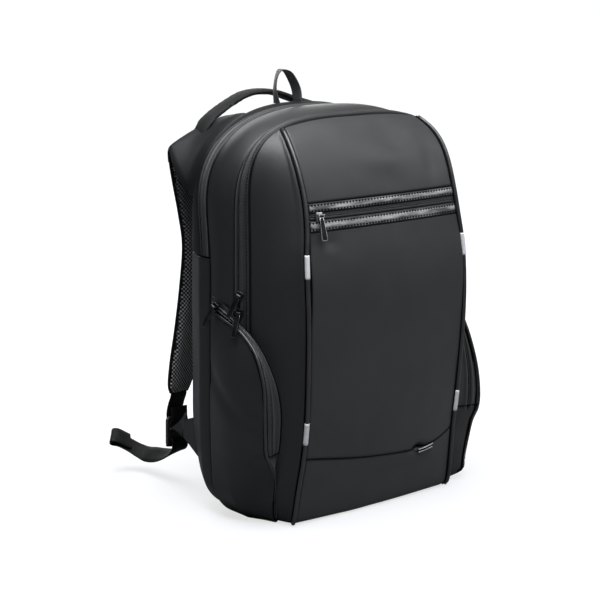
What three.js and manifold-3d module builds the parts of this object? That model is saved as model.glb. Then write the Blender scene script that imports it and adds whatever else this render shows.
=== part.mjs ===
import * as THREE from 'three';
import { mergeVertices } from 'three/addons/utils/BufferGeometryUtils.js';
import Module from 'manifold-3d';

// A soft laptop rucksack, zipped shut and standing on its base.
// Millimetres, +Z up. The front faces -Y, the worn side +Y, and X = 0 is the middle.

const wasm = await Module();
wasm.setup();
const { lerp, smoothstep, degToRad } = THREE.MathUtils;

// Clearance between neighbours, and how thick each kind of wall is
const gap = 0.4;
const wall = { cloth: 3, front: 4, zip: 1.6, pocket: 1.8, pad: 4.6, trim: 2, tab: 2.4, tape: 1.5 };

// Seams that run over the bag from floor to floor, from the back to the front:
// half width, how far the side is drawn in at the floor, height of the crest, roundness of the
// shoulder, and depth at floor, side and crest
const seams = [
  { name: 'back edge', half: 150, foot: 66, crest: 464, round: 2.3, low: 51, side: 87, top: 84 },
  { name: 'laptop zip, rear', half: 167, foot: 56, crest: 468.5, round: 2.4, low: 36, side: 50, top: 64 },
  { name: 'laptop zip, fore', half: 168, foot: 46, crest: 469, round: 2.45, low: 24, side: 32, top: 47 },
  { name: 'main zip, rear', half: 166, foot: 36, crest: 466, round: 2.9, low: -8, side: -8, top: -8 },
  { name: 'main zip, fore', half: 158, foot: 34, crest: 464, round: 3.6, low: -25, side: -26, top: -21 },
];
const body = {
  foot: 44, // height of the rounding under the sides
  footEase: 125, // height over which a seam's depth settles
  shoulder: 350, // height where the sides turn into the top
  rise: 280, // height where a seam starts to lean to its depth at the crest
  footShare: 0.1, // share of a seam's run, from one floor end, that is the rounding
  sideShare: 0.3, // share where the side ends and the shoulder begins
  floor: 0.3, // height of the lowest edge of the cloth
};
const cuts = { laptopEnd: 305, mainEnd: 232 };

// Facets of the curved pieces, and the heights where the gussets, back and pockets are faceted
const facets = { foot: 4, shoulder: 9, band: 3, strip: 4, gusset: 3, front: 12, pad: 8, pocket: 6, lip: 18 };
const stops = {
  gusset: [0.3, 2.5, 9, 22, 42, 60, 81, 126, 170, 210, 250, 292, 325, 350, 375, 400, 418, 432, 441, 449],
  pad: [0.9, 6, 18, 40, 80, 150, 250, 350, 385, 410, 430, 441, 448, 451.5],
  pocket: [3.2, 7, 14, 24, 36, 50, 64, 78, 92, 108, 139, 171, 195, 211, 222, 231, 237, 241, 244],
};

// Front panel, a row for each height: half width and depth at the piping,
// how far the middle stands forward of it, and how far the middle lies above it
const front = [
  { z: 0.3, half: 121, y: -59.5, crown: 7, lift: 0 },
  { z: 2.5, half: 125, y: -65, crown: 6, lift: 0 },
  { z: 9, half: 127, y: -69.5, crown: 5, lift: 0 },
  { z: 45, half: 125.5, y: -75, crown: 4.5, lift: -6 },
  { z: 81, half: 123, y: -80, crown: 5, lift: -15 },
  { z: 126, half: 123.2, y: -85.5, crown: 6, lift: -10 },
  { z: 200, half: 125.5, y: -90, crown: 6, lift: -3 },
  { z: 250, half: 126.5, y: -90.5, crown: 6, lift: 0 },
  { z: 292, half: 126.5, y: -88, crown: 5, lift: 0 },
  { z: 319, half: 125, y: -85, crown: 5, lift: 0 },
  { z: 343, half: 122, y: -82, crown: 4, lift: 0 },
  { z: 375, half: 119.8, y: -75.8, crown: 4, lift: 0 },
  { z: 405, half: 119.5, y: -66, crown: 4, lift: 0 },
  { z: 425, half: 118.5, y: -56, crown: 4, lift: 1 },
  { z: 440, half: 115.5, y: -44, crown: 3, lift: 3 },
  { z: 450, half: 111, y: -31.5, crown: 2, lift: 6 },
  { z: 455, half: 108, y: -22.8, crown: 0, lift: 8 },
];
const frontCuts = {
  seam: 81, // lower seam, at the piping
  bandLow: 343, // glossy bands with the zip tape between them
  tapeLow: 356,
  tapeHigh: 364.5,
  bandHigh: 375,
  top: 454.6,
  clear: 3, // no facet line lies nearer than this to a cut
};
const piping = { radius: 2.5, sides: 6, steps: 26, low: 5, high: 448, margin: 3.9 };
const sleeve = { inner: 2.9, outer: 3.5, sides: 8, steps: 3, upper: [292, 319], lower: [99.5, 125.5] };
const seamSkew = 0.7; // the lower seam hangs deepest right of the middle
const frontTab = { from: 0.48, to: 0.69, low: 75, high: 80.3, proud: 2.6 };

// Side pocket, a row for each height of its lip: where the lip is, and where the zip strip
// meets the side (height and place across the skin, counted in seams from the back edge)
const pocketLip = [
  { z: 74, x: -163, y: -63, seamZ: 70, across: 4.5 },
  { z: 90, x: -167, y: -65, seamZ: 84, across: 4.53 },
  { z: 108, x: -168, y: -65, seamZ: 100, across: 4.56 },
  { z: 139, x: -169, y: -65, seamZ: 138, across: 4.56 },
  { z: 171, x: -169, y: -63, seamZ: 168, across: 4.47 },
  { z: 201, x: -169.5, y: -52, seamZ: 200, across: 4.27 },
  { z: 217, x: -169.5, y: -37.5, seamZ: 222, across: 4.05 },
  { z: 229, x: -170, y: -20, seamZ: 235, across: 3.45 },
  { z: 237, x: -171, y: 2, seamZ: 250, across: 2.95 },
  { z: 243, x: -171.5, y: 18, seamZ: 261, across: 2.5 },
  { z: 246.5, x: -171.5, y: 27, seamZ: 265, across: 2.15 },
];
const pocket = {
  rear: 2.06, // rear edge, counted across the skin
  foreLow: 4.46, // front edge at the floor, counted across the skin
  fore: 4.6, // front edge where the zip ends
  proud: 2.8, // outer face above the side where it is sewn down
  edge: 3.3, // the panel stops this far short of the lip
  strip: 2.7, // outer face of the zip strip above the side
  bulge: 8,
  crest: 246,
};
// Below the zip's end the strip runs on down as a plain gusset, closing the pocket's front edge
const pocketFoot = [
  { z: 4.5, seamZ: 4.5, across: 4.52 },
  { z: 14, seamZ: 14, across: 4.55 },
  { z: 30, seamZ: 30, across: 4.56 },
  { z: 52, seamZ: 51, across: 4.55 },
];
// The right pocket is fuller than the left: its lip stands further out, round one height, and it
// leaves the side lower down, its front edge no later than the rest
const fullness = {
  left: { lip: 0, lipZ: 105, lipTall: 60, fillLow: 5, fillHigh: 96, tuck: 34 },
  right: { lip: 20, lipZ: 105, lipTall: 60, fillLow: -3, fillHigh: 13, tuck: 0 },
};

// Left shoulder strap, a row for each section: outer edge, inner edge, thickness,
// and how far the section bows up between its edges, as its root follows the bag's shoulder
const strapRows = [
  { outer: [-148, 89, 366], inner: [-46, 89, 458], thick: 5, bow: 24 },
  { outer: [-151, 103, 377], inner: [-46, 104, 458], thick: 7, bow: 19 },
  { outer: [-152.5, 118, 397], inner: [-49, 120, 454], thick: 9, bow: 12.5 },
  { outer: [-149, 131, 417], inner: [-54, 136, 446], thick: 10, bow: 6 },
  { outer: [-141.5, 140, 402], inner: [-60, 148, 420], thick: 11, bow: 2.5 },
  { outer: [-135.5, 141, 376], inner: [-66, 150, 387], thick: 11, bow: 0 },
  { outer: [-127, 141, 338], inner: [-65, 150, 344], thick: 11, bow: 0 },
  { outer: [-122, 140, 300], inner: [-60, 149, 303], thick: 11, bow: 0 },
  { outer: [-125, 142, 250], inner: [-62, 150, 250], thick: 11, bow: 0 },
  { outer: [-131, 144, 200], inner: [-71, 151, 197], thick: 11, bow: 0 },
  { outer: [-136, 147, 160], inner: [-84, 153, 156], thick: 11, bow: 0 },
  { outer: [-137, 150, 130], inner: [-95, 154, 127], thick: 9, bow: 0 },
  { outer: [-133, 151, 117], inner: [-102, 154, 115.5], thick: 6, bow: 0 },
];
const strap = { sections: 24, sides: 12, flat: 0.45, edge: 0.7 };

// Grab handle, a row for each section of its middle line
const handleRows = [
  { x: -91, y: 125, z: 453.5 },
  { x: -79, y: 127.5, z: 459 },
  { x: -58, y: 129, z: 468.5 },
  { x: -34, y: 131, z: 477.5 },
  { x: -10, y: 131, z: 480.5 },
  { x: 18, y: 131, z: 477.5 },
  { x: 46, y: 129, z: 468 },
  { x: 72, y: 127, z: 461 },
  { x: 90, y: 124, z: 454.5 },
];
const handle = { wide: 26, thick: 6, sections: 20 };

// Webbing routes, a row for each point of the middle line, with the way the width runs there
const upperRoute = [
  { at: [-117.5, 153, 113.4], side: [1, 0, 0] },
  { at: [-116.5, 158, 104], side: [1, 0, 0] },
  { at: [-115, 163.4, 92], side: [1, 0, 0] },
  { at: [-114.5, 164.3, 85], side: [1, 0, 0] },
  { at: [-114.5, 162.6, 79.8], side: [1, 0, 0] },
  { at: [-114.5, 158, 78.8], side: [1, 0, 0] },
  { at: [-114.5, 155.3, 82.5], side: [1, 0, 0] },
  { at: [-114.5, 155.2, 98], side: [1, 0, 0] },
];
const adjusterRoute = [
  { at: [-146.3, 107.4, 85.5], side: [0.1, 0, 1] },
  { at: [-139, 121, 88], side: [0.35, -0.1, 0.9] },
  { at: [-128.5, 137, 85], side: [0.75, -0.15, 0.55] },
  { at: [-118.5, 150, 75], side: [1, -0.05, 0.15] },
  { at: [-114.5, 157.5, 69.2], side: [1, 0, 0] },
  { at: [-114.5, 162, 68.8], side: [1, 0, 0] },
  { at: [-114.5, 164.6, 65.5], side: [1, 0, 0] },
  { at: [-114.5, 163.6, 61], side: [1, 0, 0] },
  { at: [-114.5, 158.5, 58.8], side: [1, 0, 0] },
  { at: [-114.5, 154.6, 55], side: [1, 0, 0] },
  { at: [-114.5, 154.6, 46], side: [1, 0, 0] },
  { at: [-115.5, 163, 38], side: [1, 0.1, 0.15] },
  { at: [-114, 182, 31], side: [0.9, 0.3, 0.35] },
  { at: [-112.5, 202, 26], side: [0.75, 0.5, 0.45] },
  { at: [-111.5, 222, 23.5], side: [0.65, 0.62, 0.45] },
  { at: [-116, 235, 26.5], side: [0.65, 0.62, 0.45] },
  { at: [-124, 244, 33], side: [0.65, 0.62, 0.45] },
  { at: [-134, 250, 39.5], side: [0.65, 0.62, 0.45] },
  { at: [-141, 253, 42], side: [0.65, 0.62, 0.45] },
];
const loopRoute = [
  { at: [-19, 85, 469.6], side: [0, 1, 0] },
  { at: [-21.5, 86, 486], side: [0.5, 1, 0] },
  { at: [-18, 87, 501.5], side: [0.6, 1, 0] },
  { at: [-10, 87.5, 509], side: [0.35, 1, 0] },
  { at: [1, 87, 504.5], side: [-0.2, 1, 0] },
  { at: [12, 86, 487], side: [-0.45, 1, 0] },
  { at: [15, 85, 469.6], side: [-0.3, 1, 0] },
];
const webbing = { wide: 25, loopWide: 13, upperSteps: 24, adjusterSteps: 42, loopSteps: 16 };
const lock = { x: -114.5, y: 160, thick: 4, wide: 34, low: 47, high: 86.4, slot: 27.5, corner: 4, round: 3 };
const lockSlots = [{ low: 76, high: 82.4 }, { low: 66.4, high: 72.4 }, { low: 55.4, high: 62 }];
const wing = {
  root: { x: -151.6, y: [81, 88.7], low: 58, high: 104 },
  tip: { x: -146.6, y: [106.6, 106.6], low: 75, high: 96 },
};
const basePlate = { inset: 3, backY: 50.2, thick: 8 };
const backPad = { inset: 9, pillow: 6 };

// Zip slider and its pull, in a frame with X along the hinge, Y away from the cloth and Z up
const slider = {
  wide: 8.4,
  long: 10,
  thick: 2.4,
  clear: 1.5, // above the cloth
  ear: 1.3, // thickness, length and height of the ears that hold the pin
  earLong: 4.4,
  earTall: 4,
  pin: 0.8,
  pinSides: 12,
};
const pull = { knuckle: 1.8, hole: 1.15, thick: 1.5, long: 28, clear: 0.35, segments: 7 };
const pinHeight = slider.clear + slider.thick + pull.knuckle + gap;

// Sliders with a pull that swings: place across the front or the skin, height, which way the pull
// hangs, how far it stands off the cloth at rest, in degrees, and how much wider its foot is
const frontPull = { across: -0.87, z: 360, hang: [0, 0, -1], swing: 4, flare: 0.75 };
const mainPulls = [
  { name: 'main_upper', across: 3.4, z: 268, hang: [0, 0.46, -1], swing: 12, flare: 0.1 },
  { name: 'main_lower', across: 3.4, z: 248, hang: [0, 0.08, -1], swing: 20, flare: 0.1 },
];
const pocketPull = { proud: 2.6, hang: [0, 0.5, -1], swing: 10, flare: 0.1 };
const laptopPull = { across: 1.45, z: 330, hang: [0, 0, -1] };

const looks = {
  cloth: { color: 0x3b3c3f, roughness: 0.62, metalness: 0 },
  side: { color: 0x262628, roughness: 0.7, metalness: 0 },
  zip: { color: 0x161617, roughness: 0.75, metalness: 0 },
  gloss: { color: 0x1b1b1d, roughness: 0.2, metalness: 0 },
  piping: { color: 0x18181a, roughness: 0.45, metalness: 0 },
  reflector: { color: 0xb8babd, roughness: 0.35, metalness: 0 },
  mesh: { color: 0x131314, roughness: 0.85, metalness: 0 },
  webbing: { color: 0x19191b, roughness: 0.7, metalness: 0 },
  tape: { color: 0x4a4a4c, roughness: 0.75, metalness: 0 },
  plastic: { color: 0x1c1c1e, roughness: 0.4, metalness: 0 },
  metal: { color: 0x8d8f93, roughness: 0.25, metalness: 1 },
};

const vector = (list) => new THREE.Vector3(...list);

// Values of a table between its rows, along one column, on a smooth line
function between(rows, key, at, want) {
  const last = rows.length - 1;
  let i = 0;
  while (i < last - 1 && at > rows[i + 1][key]) i += 1;
  const slope = (k) => {
    const a = rows[Math.max(k - 1, 0)];
    const b = rows[Math.min(k + 1, last)];
    return (b[want] - a[want]) / (b[key] - a[key]);
  };
  const span = rows[i + 1][key] - rows[i][key];
  const t = THREE.MathUtils.clamp((at - rows[i][key]) / span, 0, 1);
  const fromRow = (1 + 2 * t) * (1 - t) ** 2 * rows[i][want] + t * (1 - t) ** 2 * span * slope(i);
  const toRow = t * t * (3 - 2 * t) * rows[i + 1][want] + t * t * (t - 1) * span * slope(i + 1);
  return fromRow + toRow;
}

// A closed mesh from its corners and triangles, turned so that its faces point out
function closed(corners, triangles) {
  let volume = 0;
  for (const [a, b, c] of triangles) {
    volume += corners[a].dot(corners[b].clone().cross(corners[c]));
  }
  const order = volume > 0 ? triangles : triangles.map(([a, b, c]) => [a, c, b]);
  const geometry = new THREE.BufferGeometry();
  const numbers = corners.flatMap((corner) => corner.toArray());
  geometry.setAttribute('position', new THREE.Float32BufferAttribute(numbers, 3));
  geometry.setIndex(order.flat());
  return geometry;
}

// Values at equal steps between two ends
function spread(low, high, count) {
  return Array.from({ length: count + 1 }, (_, i) => lerp(low, high, i / count));
}

// Columns of a sheet: place across it, and how far the outer face is raised there
const even = (count) => spread(0, 1, count).map((at) => ({ at, raise: 0 }));
const coil = [
  { at: 0, raise: 0 },
  { at: 0.2, raise: 0 },
  { at: 0.32, raise: 0.9 },
  { at: 0.44, raise: 0 },
  { at: 1, raise: 0 },
];

function faceNormal(face, a, b, aEnds, bEnds) {
  const stepA = (aEnds[1] - aEnds[0]) * 0.02;
  const stepB = (bEnds[1] - bEnds[0]) * 0.005;
  const keep = (value, ends) => THREE.MathUtils.clamp(value, Math.min(...ends), Math.max(...ends));
  const alongA = face(keep(a + stepA, aEnds), b).sub(face(keep(a - stepA, aEnds), b));
  const alongB = face(a, keep(b + stepB, bEnds)).sub(face(a, keep(b - stepB, bEnds)));
  return alongA.cross(alongB).normalize();
}

// A curved sheet of cloth: face(a, b) is its outer face, and the wall is set in along the normal
function sheet(face, rows, columns, thick, turn = 1) {
  const bEnds = [rows[0].b, rows.at(-1).b];
  const outer = [];
  const inner = [];
  for (const row of rows) {
    for (const column of columns) {
      const a = lerp(row.from, row.to, column.at);
      const normal = faceNormal(face, a, row.b, [row.from, row.to], bEnds).multiplyScalar(turn);
      const point = face(a, row.b);
      outer.push(point.clone().addScaledVector(normal, column.raise));
      inner.push(point.clone().addScaledVector(normal, -thick));
    }
  }
  const wide = columns.length;
  const under = outer.length;
  const triangles = [];
  const quad = (a, b, c, d) => triangles.push([a, b, c], [a, c, d]);
  for (let i = 0; i < rows.length - 1; i += 1) {
    for (let j = 0; j < wide - 1; j += 1) {
      const k = i * wide + j;
      quad(k, k + 1, k + wide + 1, k + wide);
      quad(under + k, under + k + wide, under + k + wide + 1, under + k + 1);
    }
    const left = i * wide;
    const right = left + wide - 1;
    quad(left, left + wide, under + left + wide, under + left);
    quad(right, under + right, under + right + wide, right + wide);
  }
  for (let j = 0; j < wide - 1; j += 1) {
    const top = (rows.length - 1) * wide + j;
    quad(j, under + j, under + j + 1, j + 1);
    quad(top, top + 1, under + top + 1, under + top);
  }
  return closed([...outer, ...inner], triangles);
}

// A padded piece lofted through closed loops of equal length
function loft(loops) {
  const count = loops[0].length;
  const corners = loops.flat();
  const triangles = [];
  for (let k = 0; k < loops.length - 1; k += 1) {
    for (let i = 0; i < count; i += 1) {
      const next = (i + 1) % count;
      triangles.push([k * count + i, k * count + next, (k + 1) * count + next]);
      triangles.push([k * count + i, (k + 1) * count + next, (k + 1) * count + i]);
    }
  }
  const last = (loops.length - 1) * count;
  for (let i = 1; i < count - 1; i += 1) {
    triangles.push([0, i + 1, i], [last, last + i, last + i + 1]);
  }
  return closed(corners, triangles);
}

// Loops of a flat padded band from the curves of its two edges
function bandLoops(outerCurve, innerCurve, thickAt, bowAt, sections, sides) {
  return spread(0, 1, sections).map((t) => {
    const outer = outerCurve.getPoint(t);
    const inner = innerCurve.getPoint(t);
    const tangent = outerCurve.getTangent(t).add(innerCurve.getTangent(t)).normalize();
    const half = inner.clone().sub(outer).multiplyScalar(0.5);
    const middle = outer.clone().add(half);
    const normal = half.clone().cross(tangent).normalize();
    const level = normal.clone().setY(0);
    return Array.from({ length: sides }, (_, i) => {
      const angle = (2 * Math.PI * (i + 0.5)) / sides;
      const wide = Math.sign(Math.cos(angle)) * Math.abs(Math.cos(angle)) ** strap.flat;
      const thick = Math.sign(Math.sin(angle)) * Math.abs(Math.sin(angle)) ** strap.edge;
      const point = middle.clone().addScaledVector(half, wide);
      point.addScaledVector(level, bowAt(t) * (1 - wide * wide));
      return point.addScaledVector(normal, (thick * thickAt(t)) / 2);
    });
  });
}

// Flat tape along a route
function ribbon(route, wide, steps) {
  const line = new THREE.CatmullRomCurve3(route.map((row) => vector(row.at)), false, 'centripetal');
  const sides = new THREE.CatmullRomCurve3(route.map((row) => vector(row.side)));
  const face = (a, b) => line.getPoint(b).addScaledVector(sides.getPoint(b).normalize(), (a * wide) / 2);
  const rows = spread(0, 1, steps).map((b) => ({ b, from: -1, to: 1 }));
  const columns = [{ at: 0, raise: wall.tape / 2 }, { at: 1, raise: wall.tape / 2 }];
  return sheet(face, rows, columns, wall.tape / 2);
}

function mirrored(geometry) {
  const copy = geometry.clone();
  const index = copy.getIndex();
  copy.scale(-1, 1, 1);
  for (let i = 0; i < index.count; i += 3) {
    const keep = index.getX(i + 1);
    index.setX(i + 1, index.getX(i + 2));
    index.setX(i + 2, keep);
  }
  return copy;
}

// A geometry with shared corners only, as closed solids need
function welded(geometry) {
  const bare = geometry.clone();
  bare.deleteAttribute('normal');
  bare.deleteAttribute('uv');
  return mergeVertices(bare, 0.001);
}

function joined(geometries) {
  const solids = geometries.map((geometry) => {
    const bare = welded(geometry);
    const vertProperties = new Float32Array(bare.getAttribute('position').array);
    const triVerts = new Uint32Array(bare.getIndex().array);
    return new wasm.Manifold(new wasm.Mesh({ numProp: 3, vertProperties, triVerts }));
  });
  const mesh = solids.reduce((all, next) => all.add(next)).getMesh();
  const geometry = new THREE.BufferGeometry();
  geometry.setAttribute('position', new THREE.BufferAttribute(new Float32Array(mesh.vertProperties), 3));
  geometry.setIndex([...mesh.triVerts]);
  return geometry;
}

// Seams: a point at a share of the run from floor to floor, and at a height on the left
function seamDepth(seam, z) {
  const settled = 1 - (1 - Math.min(z / body.footEase, 1)) ** 2;
  const lean = smoothstep(z, body.rise, seam.crest);
  return seam.low + (seam.side - seam.low) * settled + (seam.top - seam.side) * lean;
}

function seamPoint(seam, share) {
  const near = Math.min(share, 1 - share);
  const way = share > 0.5 ? 1 : -1;
  let x = seam.half;
  let z = 0;
  if (near < body.footShare) {
    const angle = (near / body.footShare) * (Math.PI / 2);
    x = seam.half - seam.foot + seam.foot * Math.sin(angle);
    z = body.foot * (1 - Math.cos(angle));
  } else if (near < body.sideShare) {
    const part = (near - body.footShare) / (body.sideShare - body.footShare);
    z = lerp(body.foot, body.shoulder, part);
  } else {
    const angle = ((near - body.sideShare) / (0.5 - body.sideShare)) * (Math.PI / 2);
    const cos = Math.max(Math.cos(angle), 0);
    const reach = (cos ** seam.round + Math.sin(angle) ** seam.round) ** (-1 / seam.round);
    x = seam.half * reach * cos;
    z = body.shoulder + (seam.crest - body.shoulder) * reach * Math.sin(angle);
  }
  return new THREE.Vector3(way * x, seamDepth(seam, z), z);
}

function shareAt(z) {
  if (z < body.foot) {
    return (body.footShare * Math.acos(1 - z / body.foot)) / (Math.PI / 2);
  }
  const part = (z - body.foot) / (body.shoulder - body.foot);
  return lerp(body.footShare, body.sideShare, part);
}

function seamHalf(seam, z) {
  if (z < body.shoulder) return -seamPoint(seam, shareAt(z)).x;
  const part = Math.min((z - body.shoulder) / (seam.crest - body.shoulder), 1);
  return seam.half * (1 - part ** seam.round) ** (1 / seam.round);
}

// Skin between the seams: across counts seams from the back edge
function skin(across, share) {
  const k = Math.min(Math.floor(across), seams.length - 2);
  return seamPoint(seams[k], share).lerp(seamPoint(seams[k + 1], share), across - k);
}

function frontPoint(u, z) {
  const half = between(front, 'z', z, 'half');
  const crown = between(front, 'z', z, 'crown') * (1 - u * u);
  const rise = between(front, 'z', z, 'lift');
  const lift = rise * (1 - Math.abs(u) ** 3) * (rise < 0 ? 1 + seamSkew * u : 1);
  return new THREE.Vector3(u * half, between(front, 'z', z, 'y') - crown, z + lift);
}

// Left gusset between the main zip and the piping
function gusset(part, z) {
  const foreSeam = seams.at(-1);
  const rear = new THREE.Vector3(-seamHalf(foreSeam, z), seamDepth(foreSeam, z), z);
  return rear.lerp(frontPoint(-1, z), part);
}

// Left side of the bag at a height, counted across from the back edge; the gusset is the last stretch
function leftSide(across, z) {
  return across > 4 ? gusset(across - 4, z) : skin(across, shareAt(z));
}

const shares = {
  floor: shareAt(body.floor),
  laptop: shareAt(cuts.laptopEnd),
  main: shareAt(cuts.mainEnd),
};
const cutShare = 0.0003; // half the clearance at a zip's end, as a share of the run
const foldAtFront = 1.6; // clearance at the main zip's front seam, where the cloth folds most

// Shares at which a run is cut into facets: the rounding below, the side with the zips' ends,
// and the shoulder
function runStops(low, high) {
  const foot = spread(shares.floor, body.footShare, facets.foot);
  const ends = [shares.main, shares.laptop].flatMap((share) => [share - cutShare, share + cutShare]);
  const top = spread(body.sideShare, 0.5, facets.shoulder);
  const half = [...foot, ...ends, ...top];
  const all = [...half, ...half.slice(0, -1).reverse().map((share) => 1 - share)];
  const inside = all.filter((share) => share > low + cutShare && share < high - cutShare);
  return [low, ...inside, high];
}

// Clearance at a seam, with what the fold there takes from the inner side of the wall
function seamTrim(k, share) {
  if (k === 0) return gap;
  if (k === seams.length - 1) return foldAtFront;
  const before = skin(k, share).sub(skin(k - 1, share));
  const after = skin(k + 1, share).sub(skin(k, share));
  return gap / 2 + wall.cloth * Math.tan(before.angleTo(after) / 2);
}

// A band between two seams that reaches further forward below the main zip's ends
function band(rear, fore, stops, columns, thick, lowerFore = fore) {
  const rows = stops.map((share) => {
    const end = Math.min(share, 1 - share) < shares.main ? lowerFore : fore;
    const rearWide = skin(rear, share).distanceTo(skin(rear + 1, share));
    const foreWide = skin(end - 1, share).distanceTo(skin(end, share));
    const from = rear + seamTrim(rear, share) / rearWide;
    return { b: share, from, to: end - seamTrim(end, share) / foreWide };
  });
  return sheet(skin, rows, columns, thick);
}

function bodyPieces(add) {
  const upper = runStops(shares.laptop + cutShare, 1 - shares.laptop - cutShare);
  const zipRun = runStops(shares.main + cutShare, 1 - shares.main - cutShare);
  add('back_band', band(0, 1, upper, even(facets.band), wall.cloth), looks.side);
  add('zip_laptop', band(1, 2, upper, coil, wall.zip), looks.zip);
  add('zip_main', band(3, 4, zipRun, coil, wall.zip), looks.zip);

  const sideRun = runStops(shares.floor, shares.laptop - cutShare);
  const strip = band(0, 2, sideRun, even(facets.strip), wall.cloth);
  add('side_strip_left', strip, looks.side);
  add('side_strip_right', mirrored(strip), looks.side);

  const whole = runStops(shares.floor, 1 - shares.floor);
  add('main_band', band(2, 3, whole, even(facets.band), wall.cloth, 4), looks.side);

  const gussetRows = stops.gusset.map((z) => {
    const long = gusset(0, z).distanceTo(gusset(1, z));
    return { b: z, from: foldAtFront / long, to: 1 - piping.margin / long };
  });
  const side = sheet(gusset, gussetRows, even(facets.gusset), wall.cloth);
  add('front_gusset_left', side, looks.side);
  add('front_gusset_right', mirrored(side), looks.side);

  const padFace = (u, z) => {
    const half = seamHalf(seams[0], z) - backPad.inset;
    const pillow = backPad.pillow * (1 - u * u);
    return new THREE.Vector3(u * half, seamDepth(seams[0], z) + pillow, z);
  };
  const padRows = stops.pad.map((z) => ({ b: z, from: -1, to: 1 }));
  add('back_panel', sheet(padFace, padRows, even(facets.pad), wall.pad, -1), looks.mesh);

  const floorLine = seams.map((seam) => seamPoint(seam, shares.floor));
  floorLine[0].y = basePlate.backY;
  floorLine.push(frontPoint(-1, body.floor));
  const left = floorLine.map((p) => {
    const inset = p.y < 0 ? basePlate.inset : -basePlate.inset;
    return [p.x + basePlate.inset, p.y + inset];
  });
  const outline = [...left, ...left.map(([x, y]) => [-x, y]).reverse()];
  const shape = new THREE.Shape(outline.map(([x, y]) => new THREE.Vector2(x, y)));
  const plate = new THREE.ExtrudeGeometry(shape, { depth: basePlate.thick, bevelEnabled: false });
  add('base_panel', welded(plate), looks.side);
}

function frontPieces(add) {
  const edge = (z) => 1 - piping.margin / between(front, 'z', z, 'half');
  const stretch = (low, high, name, thick, look) => {
    const clear = frontCuts.clear;
    const inside = front.map((row) => row.z).filter((z) => z > low + clear && z < high - clear);
    const heights = [low + gap / 2, ...inside, high - gap / 2];
    const rows = heights.map((z) => ({ b: z, from: -edge(z), to: edge(z) }));
    add(name, sheet(frontPoint, rows, even(facets.front), thick), look);
  };
  stretch(body.floor - gap / 2, frontCuts.seam, 'front_panel_lower', wall.front, looks.cloth);
  stretch(frontCuts.seam, frontCuts.bandLow, 'front_panel_main', wall.front, looks.cloth);
  stretch(frontCuts.bandLow, frontCuts.tapeLow, 'zip_band_lower', wall.front, looks.gloss);
  stretch(frontCuts.tapeHigh, frontCuts.bandHigh, 'zip_band_upper', wall.front, looks.gloss);
  stretch(frontCuts.bandHigh, frontCuts.top, 'front_panel_top', wall.front, looks.cloth);

  const turned = (z, u) => frontPoint(u, z);
  const ends = edge(frontCuts.tapeLow);
  const tapeRows = spread(-ends, ends, facets.front).map((b) => {
    return { b, from: frontCuts.tapeLow + gap / 2, to: frontCuts.tapeHigh - gap / 2 };
  });
  add('front_zip', sheet(turned, tapeRows, coil, wall.zip, -1), looks.zip);

  const proud = (u, z) => frontPoint(u, z).add(new THREE.Vector3(0, -frontTab.proud, 0));
  const { from, to } = frontTab;
  const tabRows = spread(frontTab.low, frontTab.high, 2).map((b) => ({ b, from, to }));
  add('front_tab', sheet(proud, tabRows, even(3), wall.trim), looks.webbing);
}

function edgePieces(add) {
  const path = (low, high, count) => {
    return new THREE.CatmullRomCurve3(spread(low, high, count).map((z) => frontPoint(-1, z)));
  };
  const ring = (radius, sides) => {
    const corners = Array.from({ length: sides }, (_, i) => (2 * Math.PI * i) / sides);
    return corners.map((angle) => new THREE.Vector2(radius * Math.cos(angle), radius * Math.sin(angle)));
  };
  const cordPath = path(piping.low, piping.high, piping.steps);
  const cord = new THREE.ExtrudeGeometry(new THREE.Shape(ring(piping.radius, piping.sides)), {
    steps: piping.steps,
    extrudePath: cordPath,
  });
  add('piping_left', welded(cord), looks.piping);
  add('piping_right', mirrored(welded(cord)), looks.piping);
  for (const place of ['upper', 'lower']) {
    const shape = new THREE.Shape(ring(sleeve.outer, sleeve.sides));
    shape.holes.push(new THREE.Path(ring(sleeve.inner, sleeve.sides)));
    const extrudePath = path(...sleeve[place], sleeve.steps);
    const tube = welded(new THREE.ExtrudeGeometry(shape, { steps: sleeve.steps, extrudePath }));
    add(`reflector_${place}_left`, tube, looks.reflector);
    add(`reflector_${place}_right`, mirrored(tube), looks.reflector);
  }
}

// A pocket, drawn on the left: sewn down on the side at the floor, standing off it as a box higher up
function pocketFace(part, z, fuller) {
  const foreAcross = lerp(pocket.foreLow, pocket.fore, Math.min(z / pocketLip[0].z, 1));
  const across = lerp(pocket.rear, foreAcross, part);
  const out = faceNormal(leftSide, across, z, [pocket.rear, pocket.fore], [body.floor, pocket.crest]);
  const sewn = leftSide(across, z).addScaledVector(out, pocket.proud);
  const rear = leftSide(pocket.rear, z);
  const lipZ = Math.max(z, pocketLip[0].z);
  const lip = new THREE.Vector3(between(pocketLip, 'z', lipZ, 'x'), between(pocketLip, 'z', lipZ, 'y'), z);
  const box = new THREE.Vector3(rear.x - pocket.proud, rear.y, z).lerp(lip, part);
  const full = 1 - smoothstep(z, pocketLip[4].z, pocket.crest);
  const lipOut = Math.exp(-(((z - fuller.lipZ) / fuller.lipTall) ** 2));
  box.x -= pocket.bulge * Math.sin(Math.PI * part) * full + fuller.lip * part * lipOut;
  return sewn.lerp(box, smoothstep(z, fuller.fillLow + fuller.tuck * part ** 3, fuller.fillHigh));
}

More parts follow.
